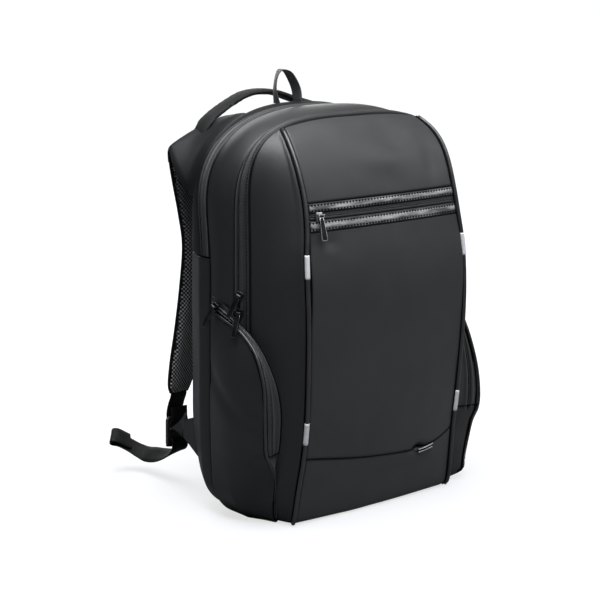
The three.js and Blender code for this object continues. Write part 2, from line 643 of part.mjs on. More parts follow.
function pocketPieces(add) {
  const stripStops = [...pocketFoot, ...pocketLip];
  const root = new THREE.CatmullRomCurve3(stripStops.map((row) => {
    const point = leftSide(row.across, row.seamZ);
    const near = leftSide(row.across - 0.02, row.seamZ).sub(point);
    const out = near.cross(new THREE.Vector3(0, 0, 1)).normalize();
    return point.addScaledVector(out.x < 0 ? out : out.negate(), pocket.strip);
  }));
  for (const [side, fuller] of Object.entries(fullness)) {
    const placed = side === 'left' ? (geometry) => geometry : mirrored;
    const panel = (part, z) => pocketFace(part, z, fuller);
    const rows = stops.pocket.map((z) => {
      const long = panel(0, z).distanceTo(panel(1, z));
      return { b: z, from: 0, to: 1 - pocket.edge / Math.max(long, pocket.edge * 2) };
    });
    add(`pocket_${side}`, placed(sheet(panel, rows, even(facets.pocket), wall.pocket)), looks.side);

    const lip = new THREE.CatmullRomCurve3(stripStops.map((row) => panel(1, row.z)));
    const stripFace = (a, b) => lip.getPoint(b).lerp(root.getPoint(b), a);
    const stripRows = spread(0, 1, facets.lip).map((b) => ({ b, from: 0, to: 1 }));
    add(`pocket_zip_${side}`, placed(sheet(stripFace, stripRows, coil, wall.zip)), looks.zip);
  }
}

// A place on the bag for zip hardware: X along the hinge, Y away from the cloth, Z against the hang
function hardwareFrame(at, out, hang) {
  const up = hang.clone().negate();
  up.addScaledVector(out, -up.dot(out)).normalize();
  const axis = out.clone().cross(up);
  return new THREE.Matrix4().makeBasis(axis, out, up).setPosition(at);
}

function sliderShape() {
  const plate = new THREE.BoxGeometry(slider.wide, slider.thick, slider.long);
  plate.translate(0, slider.clear + slider.thick / 2, 0);
  const ears = [-1, 1].map((way) => {
    const ear = new THREE.BoxGeometry(slider.ear, slider.earTall + slider.thick, slider.earLong);
    const middle = slider.clear + (slider.earTall + slider.thick) / 2;
    return ear.translate((way * (slider.wide - slider.ear)) / 2, middle, 0);
  });
  const pin = new THREE.CylinderGeometry(slider.pin, slider.pin, slider.wide - slider.ear, slider.pinSides);
  pin.rotateZ(Math.PI / 2).translate(0, pinHeight, 0);
  return joined([plate, ...ears, pin]);
}

function pullShape(swing, flare) {
  const side = pull.thick / 2;
  const turn = Math.acos(side / pull.knuckle);
  const shape = new THREE.Shape();
  shape.moveTo(side, -pull.long);
  shape.absarc(0, 0, pull.knuckle, -turn, Math.PI + turn, false);
  shape.lineTo(-side, -pull.long);
  shape.closePath();
  const hole = new THREE.Path();
  hole.absarc(0, 0, pull.hole, 0, 2 * Math.PI, true);
  shape.holes.push(hole);
  const depth = slider.wide - 2 * (slider.ear + pull.clear);
  const settings = { depth, bevelEnabled: false, curveSegments: pull.segments };
  const geometry = new THREE.ExtrudeGeometry(shape, settings);
  geometry.translate(0, 0, -depth / 2);
  const basis = new THREE.Matrix4().makeBasis(vector([0, 1, 0]), vector([0, 0, 1]), vector([1, 0, 0]));
  geometry.applyMatrix4(basis);
  const position = geometry.getAttribute('position');
  for (let i = 0; i < position.count; i += 1) {
    const down = Math.max(-position.getZ(i) - pull.knuckle, 0) / pull.long;
    position.setX(i, position.getX(i) * (1 + flare * down));
  }
  geometry.rotateX(swing);
  return welded(geometry.translate(0, pinHeight, 0));
}

function hardwarePieces(add) {
  const onSkin = (place, rear) => {
    const share = shareAt(place.z);
    const sides = [body.footShare, body.sideShare];
    const out = faceNormal(skin, place.across, share, [rear, rear + 1], sides);
    return hardwareFrame(skin(place.across, share), out, vector(place.hang));
  };
  const tape = [frontCuts.bandLow, frontCuts.bandHigh];
  const frontOut = faceNormal(frontPoint, frontPull.across, frontPull.z, [-1, 1], tape);
  const frontAt = frontPoint(frontPull.across, frontPull.z);
  const lip = pocketLip.at(-2);
  const lipMiddle = leftSide(lip.across, lip.seamZ).lerp(vector([lip.x, lip.y, lip.z]), 0.5);
  lipMiddle.x -= pocketPull.proud;
  const pocketFrame = hardwareFrame(lipMiddle, vector([-1, 0, 0]), vector(pocketPull.hang));
  const frontFrame = hardwareFrame(frontAt, frontOut, vector(frontPull.hang));
  const places = [
    { ...frontPull, name: 'front', frame: frontFrame },
    { ...pocketPull, name: 'pocket', frame: pocketFrame },
  ];
  const mainZip = 3;
  for (const place of mainPulls) {
    places.push({ ...place, frame: onSkin(place, mainZip) });
  }
  const whole = sliderShape();
  for (const place of places) {
    add(`slider_${place.name}`, whole.clone().applyMatrix4(place.frame), looks.metal);
    add(`pull_${place.name}`, pullShape(degToRad(place.swing), place.flare).applyMatrix4(place.frame), looks.metal);
  }
  // On the far side each slider and its pull are one plain piece
  const bar = new THREE.BoxGeometry(slider.wide / 2, slider.thick, pull.long);
  bar.translate(0, slider.clear + slider.thick * 1.5, -pull.long / 2);
  const plate = new THREE.BoxGeometry(slider.wide, slider.thick, slider.long);
  const plain = joined([bar, plate.translate(0, slider.clear + slider.thick / 2, 0)]);
  const laptopFrame = onSkin(laptopPull, 1);
  add('slider_laptop', mirrored(plain.clone().applyMatrix4(laptopFrame)), looks.metal);
  add('slider_pocket_right', mirrored(plain.clone().applyMatrix4(pocketFrame)), looks.metal);
}

function lockShape() {
  const half = lock.wide / 2;
  const shape = new THREE.Shape();
  shape.moveTo(-half + lock.corner, lock.low);
  shape.lineTo(half - lock.corner, lock.low);
  shape.absarc(half - lock.corner, lock.low + lock.corner, lock.corner, -Math.PI / 2, 0, false);
  shape.absarc(half - lock.corner, lock.high - lock.corner, lock.corner, 0, Math.PI / 2, false);
  shape.absarc(-half + lock.corner, lock.high - lock.corner, lock.corner, Math.PI / 2, Math.PI, false);
  shape.absarc(-half + lock.corner, lock.low + lock.corner, lock.corner, Math.PI, 1.5 * Math.PI, false);
  for (const slot of lockSlots) {
    const wide = lock.slot / 2;
    const corners = [[-wide, slot.low], [-wide, slot.high], [wide, slot.high], [wide, slot.low]];
    shape.holes.push(new THREE.Path(corners.map(([x, y]) => new THREE.Vector2(x, y))));
  }
  const settings = { depth: lock.thick, bevelEnabled: false, curveSegments: lock.round };
  const geometry = new THREE.ExtrudeGeometry(shape, settings);
  geometry.rotateX(Math.PI / 2).translate(lock.x, lock.y + lock.thick / 2, 0);
  return welded(geometry);
}

function carryingPieces(add) {
  const pair = (name, geometry, look) => {
    add(`${name}_left`, geometry, look);
    add(`${name}_right`, mirrored(geometry), look);
  };
  const outer = new THREE.CatmullRomCurve3(strapRows.map((row) => vector(row.outer)));
  const inner = new THREE.CatmullRomCurve3(strapRows.map((row) => vector(row.inner)));
  const numbered = strapRows.map((row, i) => ({ ...row, step: i / (strapRows.length - 1) }));
  const thickAt = (t) => between(numbered, 'step', t, 'thick');
  const bowAt = (t) => between(numbered, 'step', t, 'bow');
  pair('strap', loft(bandLoops(outer, inner, thickAt, bowAt, strap.sections, strap.sides)), looks.mesh);
  pair('strap_webbing', ribbon(upperRoute, webbing.wide, webbing.upperSteps), looks.webbing);
  pair('adjuster', ribbon(adjusterRoute, webbing.wide, webbing.adjusterSteps), looks.webbing);
  pair('ladder_lock', lockShape(), looks.plastic);

  const wingEdge = (end, a) => new THREE.Vector3(end.x, lerp(...end.y, a), lerp(end.low, end.high, a));
  const wingFace = (a, b) => wingEdge(wing.root, a).lerp(wingEdge(wing.tip, a), b);
  const wingRows = spread(0, 1, 2).map((b) => ({ b, from: 0, to: 1 }));
  pair('wing_tab', sheet(wingFace, wingRows, even(2), wall.tab), looks.side);

  const edge = (way) => {
    const shift = (way * handle.wide) / 2;
    return new THREE.CatmullRomCurve3(handleRows.map((row) => vector([row.x, row.y + shift, row.z])));
  };
  const grip = bandLoops(edge(-1), edge(1), () => handle.thick, () => 0, handle.sections, strap.sides);
  add('grab_handle', loft(grip), looks.webbing);
  add('hang_loop', ribbon(loopRoute, webbing.loopWide, webbing.loopSteps), looks.tape);
}

const rucksack = new THREE.Group();
rucksack.name = 'rucksack';

function add(name, geometry, look) {
  const mesh = new THREE.Mesh(geometry, new THREE.MeshStandardMaterial(look));
  mesh.name = name;
  rucksack.add(mesh);
}

for (const make of [bodyPieces, frontPieces, edgePieces, pocketPieces, hardwarePieces, carryingPieces]) {
  make(add);
}

export default rucksack;
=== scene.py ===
import bpy
import bmesh
import math
import numpy as np
from mathutils import Matrix, Vector, noise


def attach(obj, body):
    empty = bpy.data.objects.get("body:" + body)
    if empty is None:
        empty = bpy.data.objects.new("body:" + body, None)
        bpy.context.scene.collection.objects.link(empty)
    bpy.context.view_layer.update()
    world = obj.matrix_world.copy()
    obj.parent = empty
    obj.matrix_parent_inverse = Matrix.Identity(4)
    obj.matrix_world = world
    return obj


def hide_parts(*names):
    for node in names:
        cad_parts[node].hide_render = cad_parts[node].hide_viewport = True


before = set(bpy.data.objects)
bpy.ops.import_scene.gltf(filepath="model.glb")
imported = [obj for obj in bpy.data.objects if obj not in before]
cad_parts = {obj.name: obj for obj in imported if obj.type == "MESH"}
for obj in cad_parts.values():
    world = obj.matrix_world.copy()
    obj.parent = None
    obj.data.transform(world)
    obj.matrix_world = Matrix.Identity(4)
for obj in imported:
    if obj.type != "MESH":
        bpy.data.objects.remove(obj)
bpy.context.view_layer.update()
scene = bpy.context.scene
mm = 0.001
tiny = 1e-9
print("frame loaded:", len(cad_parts), "solids")

# Camera, lights and floor; the lights' places are in metres
cameraSetup = {
    "azimuth": -42.657, "elevation": 11.05, "roll": 0.457,
    "distance": 2350.5, "target": (-57.2, 0, 246.9), "focalPixels": 1998.5, "picture": 600, "sensor": 36,
}
lightSetup = {
    "worldColor": (0.95, 0.97, 1.0), "worldStrength": 0.08,
    "sky": {"from": (0.15, -0.3, 1), "strength": 2.3, "angle": 70},
    "boxes": [
        {"name": "overhead", "at": (-0.3, -0.15, 2.2), "aim": (0, 0, 0.4), "size": (1.8, 1.5), "watts": 98,
         "tint": (0.98, 1, 1.04)},
        {"name": "frontRight", "at": (2.1, -1.6, 1.75), "aim": (0, 0, 0.4), "size": (1.3, 1.2), "watts": 17,
         "tint": (0.985, 1, 1.04)},
        {"name": "leftFill", "at": (-2.6, -0.9, 1.5), "aim": (0, 0, 0.25), "size": (0.9, 1.2), "watts": 0.2,
         "tint": (0.97, 0.98, 1)},
        {"name": "frontTop", "at": (-0.3, -0.6, 0.98), "aim": (-0.02, -0.05, 0.42), "size": (0.55, 0.4), "watts": 5.2,
         "tint": (0.985, 1, 1.04)},
        {"name": "rear", "at": (1.3, 2.3, 1.1), "aim": (0, 0.1, 0.3), "size": (1.6, 1.4), "watts": 22,
         "tint": (1, 0.99, 0.98)},
    ],
}
floorSetup = {
    "size": 60, "color": (0.14, 0.145, 0.155, 1), "roughness": 0.6, "level": 0.1,
    "glow": {"near": 0.68, "far": 0.9, "from": 0.2, "to": 0.62},
}


def addObject(name, data):
    item = bpy.data.objects.new(name, data)
    scene.collection.objects.link(item)
    return item


def buildCamera():
    a, e, r = (math.radians(cameraSetup[k]) for k in ("azimuth", "elevation", "roll"))
    back = Vector((math.sin(a) * math.cos(e), -math.cos(a) * math.cos(e), math.sin(e)))
    level = Vector((math.cos(a), math.sin(a), 0))
    rise = back.cross(level)
    right = math.cos(r) * level + math.sin(r) * rise
    up = -math.sin(r) * level + math.cos(r) * rise
    place = (Vector(cameraSetup["target"]) + back * cameraSetup["distance"]) * mm
    data = bpy.data.cameras.new("camera")
    data.sensor_width = cameraSetup["sensor"]
    data.lens = cameraSetup["focalPixels"] / cameraSetup["picture"] * cameraSetup["sensor"]
    camera = addObject("camera", data)
    camera.matrix_world = Matrix([(right[i], up[i], back[i], place[i]) for i in range(3)] + [(0, 0, 0, 1)])
    scene.camera = camera
    scene.view_settings.view_transform = "Standard"


def buildLights():
    world = bpy.data.worlds.new("studio")
    scene.world = world
    world.use_nodes = True
    backdrop = world.node_tree.nodes["Background"]
    backdrop.inputs["Color"].default_value = (*lightSetup["worldColor"], 1)
    backdrop.inputs["Strength"].default_value = lightSetup["worldStrength"]
    for box in lightSetup["boxes"]:
        lamp = bpy.data.lights.new(box["name"], "AREA")
        lamp.shape = "RECTANGLE"
        lamp.size, lamp.size_y = box["size"]
        lamp.energy = box["watts"]
        lamp.color = box["tint"]
        holder = addObject(box["name"], lamp)
        holder.location = box["at"]
        holder.rotation_euler = (Vector(box["aim"]) - Vector(box["at"])).to_track_quat("-Z", "Y").to_euler()
    sky = lightSetup["sky"]
    lamp = bpy.data.lights.new("sky", "SUN")
    lamp.energy = sky["strength"]
    lamp.angle = math.radians(sky["angle"])
    addObject("sky", lamp).rotation_euler = Vector(sky["from"]).to_track_quat("Z", "Y").to_euler()


def buildFloor():
    half = floorSetup["size"] / 2
    sheet = bpy.data.meshes.new("floor")
    sheet.from_pydata([(-half, -half, 0), (half, -half, 0), (half, half, 0), (-half, half, 0)], [], [(0, 1, 2, 3)])
    paint = bpy.data.materials.new("floorPaint")
    paint.use_nodes = True
    nodes, links = paint.node_tree.nodes, paint.node_tree.links
    shader = nodes["Principled BSDF"]
    shader.inputs["Base Color"].default_value = floorSetup["color"]
    shader.inputs["Roughness"].default_value = floorSetup["roughness"]
    shader.inputs["Specular IOR Level"].default_value = floorSetup["level"]
    shader.inputs["Emission Color"].default_value = (1, 1, 1, 1)
    place = nodes.new("ShaderNodeTexCoord")
    reach = nodes.new("ShaderNodeVectorMath")
    reach.operation = "LENGTH"
    fade = nodes.new("ShaderNodeMapRange")  # less glow near the bag, where its shadow falls; the dimmer glow also paints some shade round the bag
    fade.interpolation_type = "SMOOTHSTEP"
    for socket, key in (("From Min", "from"), ("From Max", "to"), ("To Min", "near"), ("To Max", "far")):
        fade.inputs[socket].default_value = floorSetup["glow"][key]
    seen = nodes.new("ShaderNodeLightPath")  # white to the camera only, so that it lights nothing
    glow = nodes.new("ShaderNodeMath")
    glow.operation = "MULTIPLY"
    links.new(place.outputs["Object"], reach.inputs[0])
    links.new(reach.outputs["Value"], fade.inputs["Value"])
    links.new(seen.outputs["Is Camera Ray"], glow.inputs[0])
    links.new(fade.outputs["Result"], glow.inputs[1])
    links.new(glow.outputs[0], shader.inputs["Emission Strength"])
    sheet.materials.append(paint)
    addObject("floor", sheet)


buildCamera()
buildLights()
buildFloor()
print("stage set")

# The bag's form: seams from floor to floor over the top, back to front, in millimetres
seams = [
    {"half": 150, "foot": 66, "crest": 464, "round": 2.3, "low": 51, "side": 87, "top": 84},
    {"half": 167, "foot": 56, "crest": 468.5, "round": 2.4, "low": 36, "side": 50, "top": 64},
    {"half": 168, "foot": 46, "crest": 469, "round": 2.45, "low": 24, "side": 32, "top": 47},
    {"half": 166, "foot": 36, "crest": 466, "round": 2.9, "low": -8, "side": -8, "top": -8},
    {"half": 158, "foot": 34, "crest": 464, "round": 3.6, "low": -25, "side": -26, "top": -21},
]
backEdge, laptopRear, laptopFront, mainRear, mainFront = range(len(seams))
bagForm = {
    "foot": 44, "footEase": 125, "shoulder": 350, "rise": 280, "footShare": 0.1, "sideShare": 0.3, "floor": 0.3,
    "laptopEnd": 305, "mainEnd": 219, "seamSkew": 0.7, "centre": (0, 5, 220),
}
frontRows = [
    {"z": 0.3, "half": 121, "y": -59.5, "crown": 7, "lift": 0},
    {"z": 2.5, "half": 125, "y": -65, "crown": 6, "lift": 0},
    {"z": 9, "half": 127, "y": -69.5, "crown": 5, "lift": 0},
    {"z": 45, "half": 125.5, "y": -75, "crown": 4.5, "lift": -6},
    {"z": 81, "half": 123, "y": -80, "crown": 5, "lift": -15},
    {"z": 126, "half": 123.2, "y": -85.5, "crown": 6, "lift": -10},
    {"z": 200, "half": 125.5, "y": -90, "crown": 6, "lift": -3},
    {"z": 250, "half": 126.5, "y": -90.5, "crown": 6, "lift": 0},
    {"z": 292, "half": 126.5, "y": -88, "crown": 5, "lift": 0},
    {"z": 319, "half": 125, "y": -85, "crown": 5, "lift": 0},
    {"z": 343, "half": 122, "y": -82, "crown": 4, "lift": 0},
    {"z": 375, "half": 119.8, "y": -75.8, "crown": 4, "lift": 0},
    {"z": 405, "half": 119.5, "y": -66, "crown": 4, "lift": 0},
    {"z": 425, "half": 118.5, "y": -56, "crown": 4, "lift": 1},
    {"z": 440, "half": 115.5, "y": -44, "crown": 3, "lift": 3},
    {"z": 450, "half": 111, "y": -31.5, "crown": 2, "lift": 6},
    {"z": 455, "half": 108, "y": -22.8, "crown": 0, "lift": 8},
]


def between(low, high, part):
    return low + (high - low) * part


def smooth(value, low, high):
    t = np.clip((np.asarray(value, float) - low) / (high - low), 0, 1)
    return t * t * (3 - 2 * t)


def bump(value, middle, wide):
    return np.exp(-((np.asarray(value, float) - middle) / wide) ** 2)


# Step t of the curve between two rows, from their values and slopes
def easeRows(t, span, start, end, startSlope, endSlope):
    fromStart = (1 + 2 * t) * (1 - t) ** 2 * start + t * (1 - t) ** 2 * span * startSlope
    toEnd = t * t * (3 - 2 * t) * end + t * t * (t - 1) * span * endSlope
    return fromStart + toEnd


def tableAt(rows, key, want, at):
    keys, values = (np.array([row[name] for row in rows], float) for name in (key, want))
    at = np.asarray(at, float)
    i = np.clip(np.searchsorted(keys, at, side="left") - 1, 0, len(keys) - 2)
    row = np.arange(len(keys))
    before, after = np.maximum(row - 1, 0), np.minimum(row + 1, len(keys) - 1)
    slope = (values[after] - values[before]) / (keys[after] - keys[before])
    span = keys[i + 1] - keys[i]
    t = np.clip((at - keys[i]) / span, 0, 1)
    return easeRows(t, span, values[i], values[i + 1], slope[i], slope[i + 1])


def seamDepth(seam, z):
    settled = 1 - (1 - np.minimum(z / bagForm["footEase"], 1)) ** 2
    lean = smooth(z, bagForm["rise"], seam["crest"])
    return seam["low"] + (seam["side"] - seam["low"]) * settled + (seam["top"] - seam["side"]) * lean


# A point of a seam by its share of the way over the bag, from the left foot to the right
def seamPoint(seam, share):
    share = np.asarray(share, float)
    near = np.minimum(share, 1 - share)
    way = np.where(share > 0.5, 1.0, -1.0)
    foot, shoulder = bagForm["foot"], bagForm["shoulder"]
    footShare, sideShare = bagForm["footShare"], bagForm["sideShare"]
    footAngle = np.clip(near / footShare, 0, 1) * math.pi / 2
    sidePart = (near - footShare) / (sideShare - footShare)
    topAngle = np.clip((near - sideShare) / (0.5 - sideShare), 0, 1) * math.pi / 2
    c, s = np.maximum(np.cos(topAngle), 0), np.sin(topAngle)
    reach = (c ** seam["round"] + s ** seam["round"]) ** (-1 / seam["round"])
    parts = [near < footShare, near < sideShare]
    x = np.select(parts, [seam["half"] - seam["foot"] * (1 - np.sin(footAngle)), seam["half"] + 0 * near],
                  seam["half"] * reach * c)
    z = np.select(parts, [foot * (1 - np.cos(footAngle)), foot + (shoulder - foot) * sidePart],
                  shoulder + (seam["crest"] - shoulder) * reach * s)
    return np.stack([way * x, seamDepth(seam, z), z], -1)


def shareAt(z):
    z = np.asarray(z, float)
    foot, shoulder = bagForm["foot"], bagForm["shoulder"]
    low = bagForm["footShare"] * np.arccos(np.clip(1 - z / foot, -1, 1)) / (math.pi / 2)
    high = bagForm["footShare"] + (bagForm["sideShare"] - bagForm["footShare"]) * (z - foot) / (shoulder - foot)
    return np.where(z < foot, low, high)


def seamHalf(seam, z):
    z = np.asarray(z, float)
    below = -seamPoint(seam, shareAt(np.minimum(z, bagForm["shoulder"] - 0.01)))[..., 0]
    part = np.clip((z - bagForm["shoulder"]) / (seam["crest"] - bagForm["shoulder"]), 0, 1)
    return np.where(z < bagForm["shoulder"], below, seam["half"] * (1 - part ** seam["round"]) ** (1 / seam["round"]))


# A point of the sides and top; across counts the seams from the back, share runs along them
def skinAt(across, share):
    across, share = np.broadcast_arrays(np.asarray(across, float), np.asarray(share, float))
    points = np.stack([seamPoint(seam, share) for seam in seams])
    k = np.clip(np.floor(across).astype(int), 0, len(seams) - 2)
    low = np.take_along_axis(points, k[None, ..., None], 0)[0]
    high = np.take_along_axis(points, k[None, ..., None] + 1, 0)[0]
    return low + (high - low) * (across - k)[..., None]


# A point of the front; u runs from -1 at the left piping to 1 at the right
def frontAt(u, z):
    u, z = np.broadcast_arrays(np.asarray(u, float), np.asarray(z, float))
    half, y, crown, lift = (tableAt(frontRows, "z", k, z) for k in ("half", "y", "crown", "lift"))
    lift = lift * (1 - np.abs(u) ** 3) * np.where(lift < 0, 1 + bagForm["seamSkew"] * u, 1)
    return np.stack([u * half, y - crown * (1 - u * u), z + lift], -1)


def gussetAt(part, z):
    part, z = np.broadcast_arrays(np.asarray(part, float), np.asarray(z, float))
    rear = np.stack([-seamHalf(seams[mainFront], z), seamDepth(seams[mainFront], z), z], -1)
    return rear + (frontAt(-1, z) - rear) * part[..., None]


# The left side by height; past the last seam, across runs on over the gusset
def leftSide(across, z):
    across, z = np.broadcast_arrays(np.asarray(across, float), np.asarray(z, float))
    return np.where((across > mainFront)[..., None], gussetAt(across - mainFront, z),
                    skinAt(np.minimum(across, mainFront), shareAt(z)))


shares = {"floor": float(shareAt(bagForm["floor"])), "laptop": float(shareAt(bagForm["laptopEnd"])),
          "main": float(shareAt(bagForm["mainEnd"]))}


# Mesh tools: every piece is a set of grids of points, with the cloth's own length and width as its map
meshRules = {
    "seamShade": (0.5, 1.9),  # millimetres from a seam, where its shadow is full and where it has gone
    "edgeSteps": (0, 0.1, 0.3, 0.6, 1.0),  # rows of points over a turned edge
    "floorGap": 0.05, "weld": 2e-6, "sliver": 1e-7,
}


def unit(v):
    return v / np.maximum(np.linalg.norm(v, axis=-1, keepdims=True), tiny)


def gridNormals(points):
    return unit(np.cross(np.gradient(points, axis=1), np.gradient(points, axis=0)))


def runLength(points, axis):
    step = np.linalg.norm(np.diff(points, axis=axis), axis=2)
    start = np.zeros_like(np.take(step, [0], axis=axis))
    return np.concatenate([start, np.cumsum(step, axis=axis)], axis=axis)


def edged(count, long, roll):
    near = np.array(meshRules["edgeSteps"]) * min(roll, long / 4) / long
    return np.concatenate([near[:-1], np.linspace(near[-1], 1 - near[-1], count + 1), (1 - near[:-1])[::-1]])


def turnIn(distance, roll):
    near = np.clip(distance, 0, roll)
    return roll - np.sqrt(np.maximum(roll * roll - (roll - near) ** 2, 0))


def edgeDistances(points):
    alongA, alongB = runLength(points, 1), runLength(points, 0)
    return alongA, alongA[:, -1:] - alongA, alongB, alongB[-1:] - alongB


# A cloth panel from face(a, b), both 0 to 1: its edges turn in to the seams, and relief stands on it.
# Marks are masks for the finish, sewn is how dark the painted shade in its seams is, and the argument after it how that
# painted shade fades upward (share, from, to)
def panelGrid(face, aCount, bCount, roll=2.0, relief=None, skirt=2.5, lift=0.0, outward=None, marks=None,
              sewn=1.0, seamShadeTop=None):
    probe = face(*np.meshgrid(np.linspace(0, 1, 13), np.linspace(0, 1, 13)))
    longA, longB = runLength(probe, 1)[:, -1].max(), runLength(probe, 0)[-1].max()
    a, b = np.meshgrid(edged(aCount, longA, roll), edged(bCount, longB, roll))
    points = face(a, b)
    normals = gridNormals(points)
    toward = np.asarray(outward, float) if outward is not None else points - np.array(bagForm["centre"])
    flip = (normals * toward).sum(-1).mean() < 0
    if flip:
        normals = -normals
    edges = edgeDistances(points)
    maps = np.stack([edges[0], edges[2]], -1)
    height = np.full(a.shape, float(lift))
    seam = np.zeros(a.shape)
    for distance in edges:
        height -= turnIn(distance, roll)
        seam = np.maximum(seam, sewn * (1 - smooth(distance, *meshRules["seamShade"])))
    if seamShadeTop is not None:
        seam *= 1 - seamShadeTop[0] * smooth(points[..., 2], *seamShadeTop[1:])
    if relief is not None:
        height += relief(a, b, points)
    points = points + normals * height[..., None]
    named = {"seam": seam}
    for name, mark in (marks or {}).items():
        named[name] = np.maximum(named.get(name, 0), mark(a, b))
    pad = ((1, 1), (1, 1), (0, 0))
    points, normals, maps = (np.pad(x, pad, mode="edge") for x in (points, normals, maps))
    named = {name: np.pad(mark, pad[:2], mode="edge") for name, mark in named.items()}
    drop = np.full(points.shape[:2], float(skirt))
    drop[1:-1, 1:-1] = 0
    return {"points": points - normals * drop[..., None], "maps": maps, "flip": flip, "marks": named}


def mirrorGrid(grid):
    return {**grid, "points": grid["points"] * np.array([-1, 1, 1]), "flip": not grid["flip"]}


bothSides = (("left", lambda grid: grid), ("right", mirrorGrid))


# A closed piece from loops of points; its ends close to their middles
def loopGrid(loops):
    loops = np.asarray(loops, float)
    ends = [np.repeat(loop.mean(0, keepdims=True), loops.shape[1], 0)[None] for loop in (loops[0], loops[-1])]
    loops = np.concatenate([ends[0], loops, ends[1]])
    points = np.concatenate([loops, loops[:, :1]], 1)
    along = runLength(points, 0).mean(1, keepdims=True).repeat(points.shape[1], 1)
    maps = np.stack([runLength(points, 1), along], -1)
    middle = points.mean((0, 1))
    corners = (points[:-1, :-1], points[:-1, 1:], points[1:, 1:], points[1:, :-1])
    a, b, c, d = (corner - middle for corner in corners)
    volume = (np.cross(b, c) * a).sum() + (np.cross(c, d) * a).sum()
    return {"points": points, "maps": maps, "flip": volume < 0}


def curveThrough(rows, count):
    rows = np.asarray(rows, float)
    gaps = np.linalg.norm(np.diff(rows, axis=0), axis=1) ** 0.5
    knots = np.concatenate([[0], np.cumsum(gaps)])
    first, last = 2 * rows[0] - rows[1], 2 * rows[-1] - rows[-2]
    points = np.concatenate([[first], rows, [last]])
    times = np.concatenate([[knots[0] - gaps[0]], knots, [knots[-1] + gaps[-1]]])
    slope = (points[2:] - points[:-2]) / (times[2:] - times[:-2])[:, None]
    at = np.linspace(0, knots[-1], count)
    i = np.clip(np.searchsorted(knots, at, side="right") - 1, 0, len(knots) - 2)
    span = (knots[i + 1] - knots[i])[:, None]
    t = (at - knots[i])[:, None] / span
    return easeRows(t, span, rows[i], rows[i + 1], slope[i], slope[i + 1])


def evenPath(points, step):
    points = np.asarray(points, float)
    along = np.concatenate([[0], np.cumsum(np.linalg.norm(np.diff(points, axis=0), axis=1))])
    count = max(int(along[-1] / step), 2)
    at = np.linspace(0, along[-1], count + 1)
    return np.stack([np.interp(at, along, points[:, k]) for k in range(3)], -1)


# A round cord along a path; hint is a direction that the path never takes
def tubeGrid(path, radius, sides, hint, squash=1.0):
    tangent = unit(np.gradient(path, axis=0))
    across = unit(np.cross(tangent, np.broadcast_to(np.asarray(hint, float), path.shape)))
    up = np.cross(across, tangent)
    radius = np.broadcast_to(np.asarray(radius, float), (len(path),))[:, None, None]
    angle = np.linspace(0, 2 * math.pi, sides, endpoint=False)
    ring = across[:, None] * np.cos(angle)[None, :, None] + up[:, None] * (np.sin(angle) * squash)[None, :, None]
    return loopGrid(path[:, None] + ring * radius)


# Flat tape along a line, with rounded edges
def tapeGrid(line, side, wide, thick):
    side = unit(np.broadcast_to(np.asarray(side, float), line.shape))
    tangent = unit(np.gradient(line, axis=0))
    side = unit(side - tangent * (side * tangent).sum(-1, keepdims=True))
    up = np.cross(side, tangent)
    w, t = wide / 2, thick / 2
    flat = w - t * 0.6
    outline = [(-w, 0), (-flat, t), (-w / 2, t), (0, t), (w / 2, t), (flat, t),
               (w, 0), (flat, -t), (w / 2, -t), (0, -t), (-w / 2, -t), (-flat, -t)]
    return loopGrid(np.stack([line + side * x + up * y for x, y in outline], 1))


# A flat piece with two faces, from face(a, b)
def slabGrid(face, aCount, bCount, thick):
    a, b = np.meshgrid(np.linspace(0, 1, aCount), np.linspace(0, 1, bCount))
    points = face(a, b)
    normals = gridNormals(points) * thick / 2
    edgeLow = points[:, :1] + unit(points[:, :1] - points[:, 1:2]) * thick * 0.4
    edgeHigh = points[:, -1:] + unit(points[:, -1:] - points[:, -2:-1]) * thick * 0.4
    return loopGrid(np.concatenate([edgeLow, points + normals, edgeHigh, (points - normals)[:, ::-1]], 1))


def gridFaces(grid, start=0):
    rows, columns = grid["points"].shape[:2]
    i = np.arange(rows - 1)[:, None] * columns + np.arange(columns - 1)[None] + start
    quads = np.stack([i, i + 1, i + columns + 1, i + columns], -1).reshape(-1, 4)
    return quads[:, ::-1] if grid["flip"] else quads


def readPoints(mesh):
    points = np.empty(len(mesh.vertices) * 3)
    mesh.vertices.foreach_get("co", points)
    return points.reshape(-1, 3)


# The map is in metres, so a weave has its real size on every piece
def writeMap(mesh, places):
    layer = mesh.uv_layers.new(name="realSize")
    corner = np.empty(len(mesh.loops), np.int32)
    mesh.loops.foreach_get("vertex_index", corner)
    layer.data.foreach_set("uv", places[corner].ravel())


def placePiece(name, mesh, nodes, body="bag"):
    piece = addObject(name, mesh)
    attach(piece, body)
    if nodes:
        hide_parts(*nodes)
    return piece


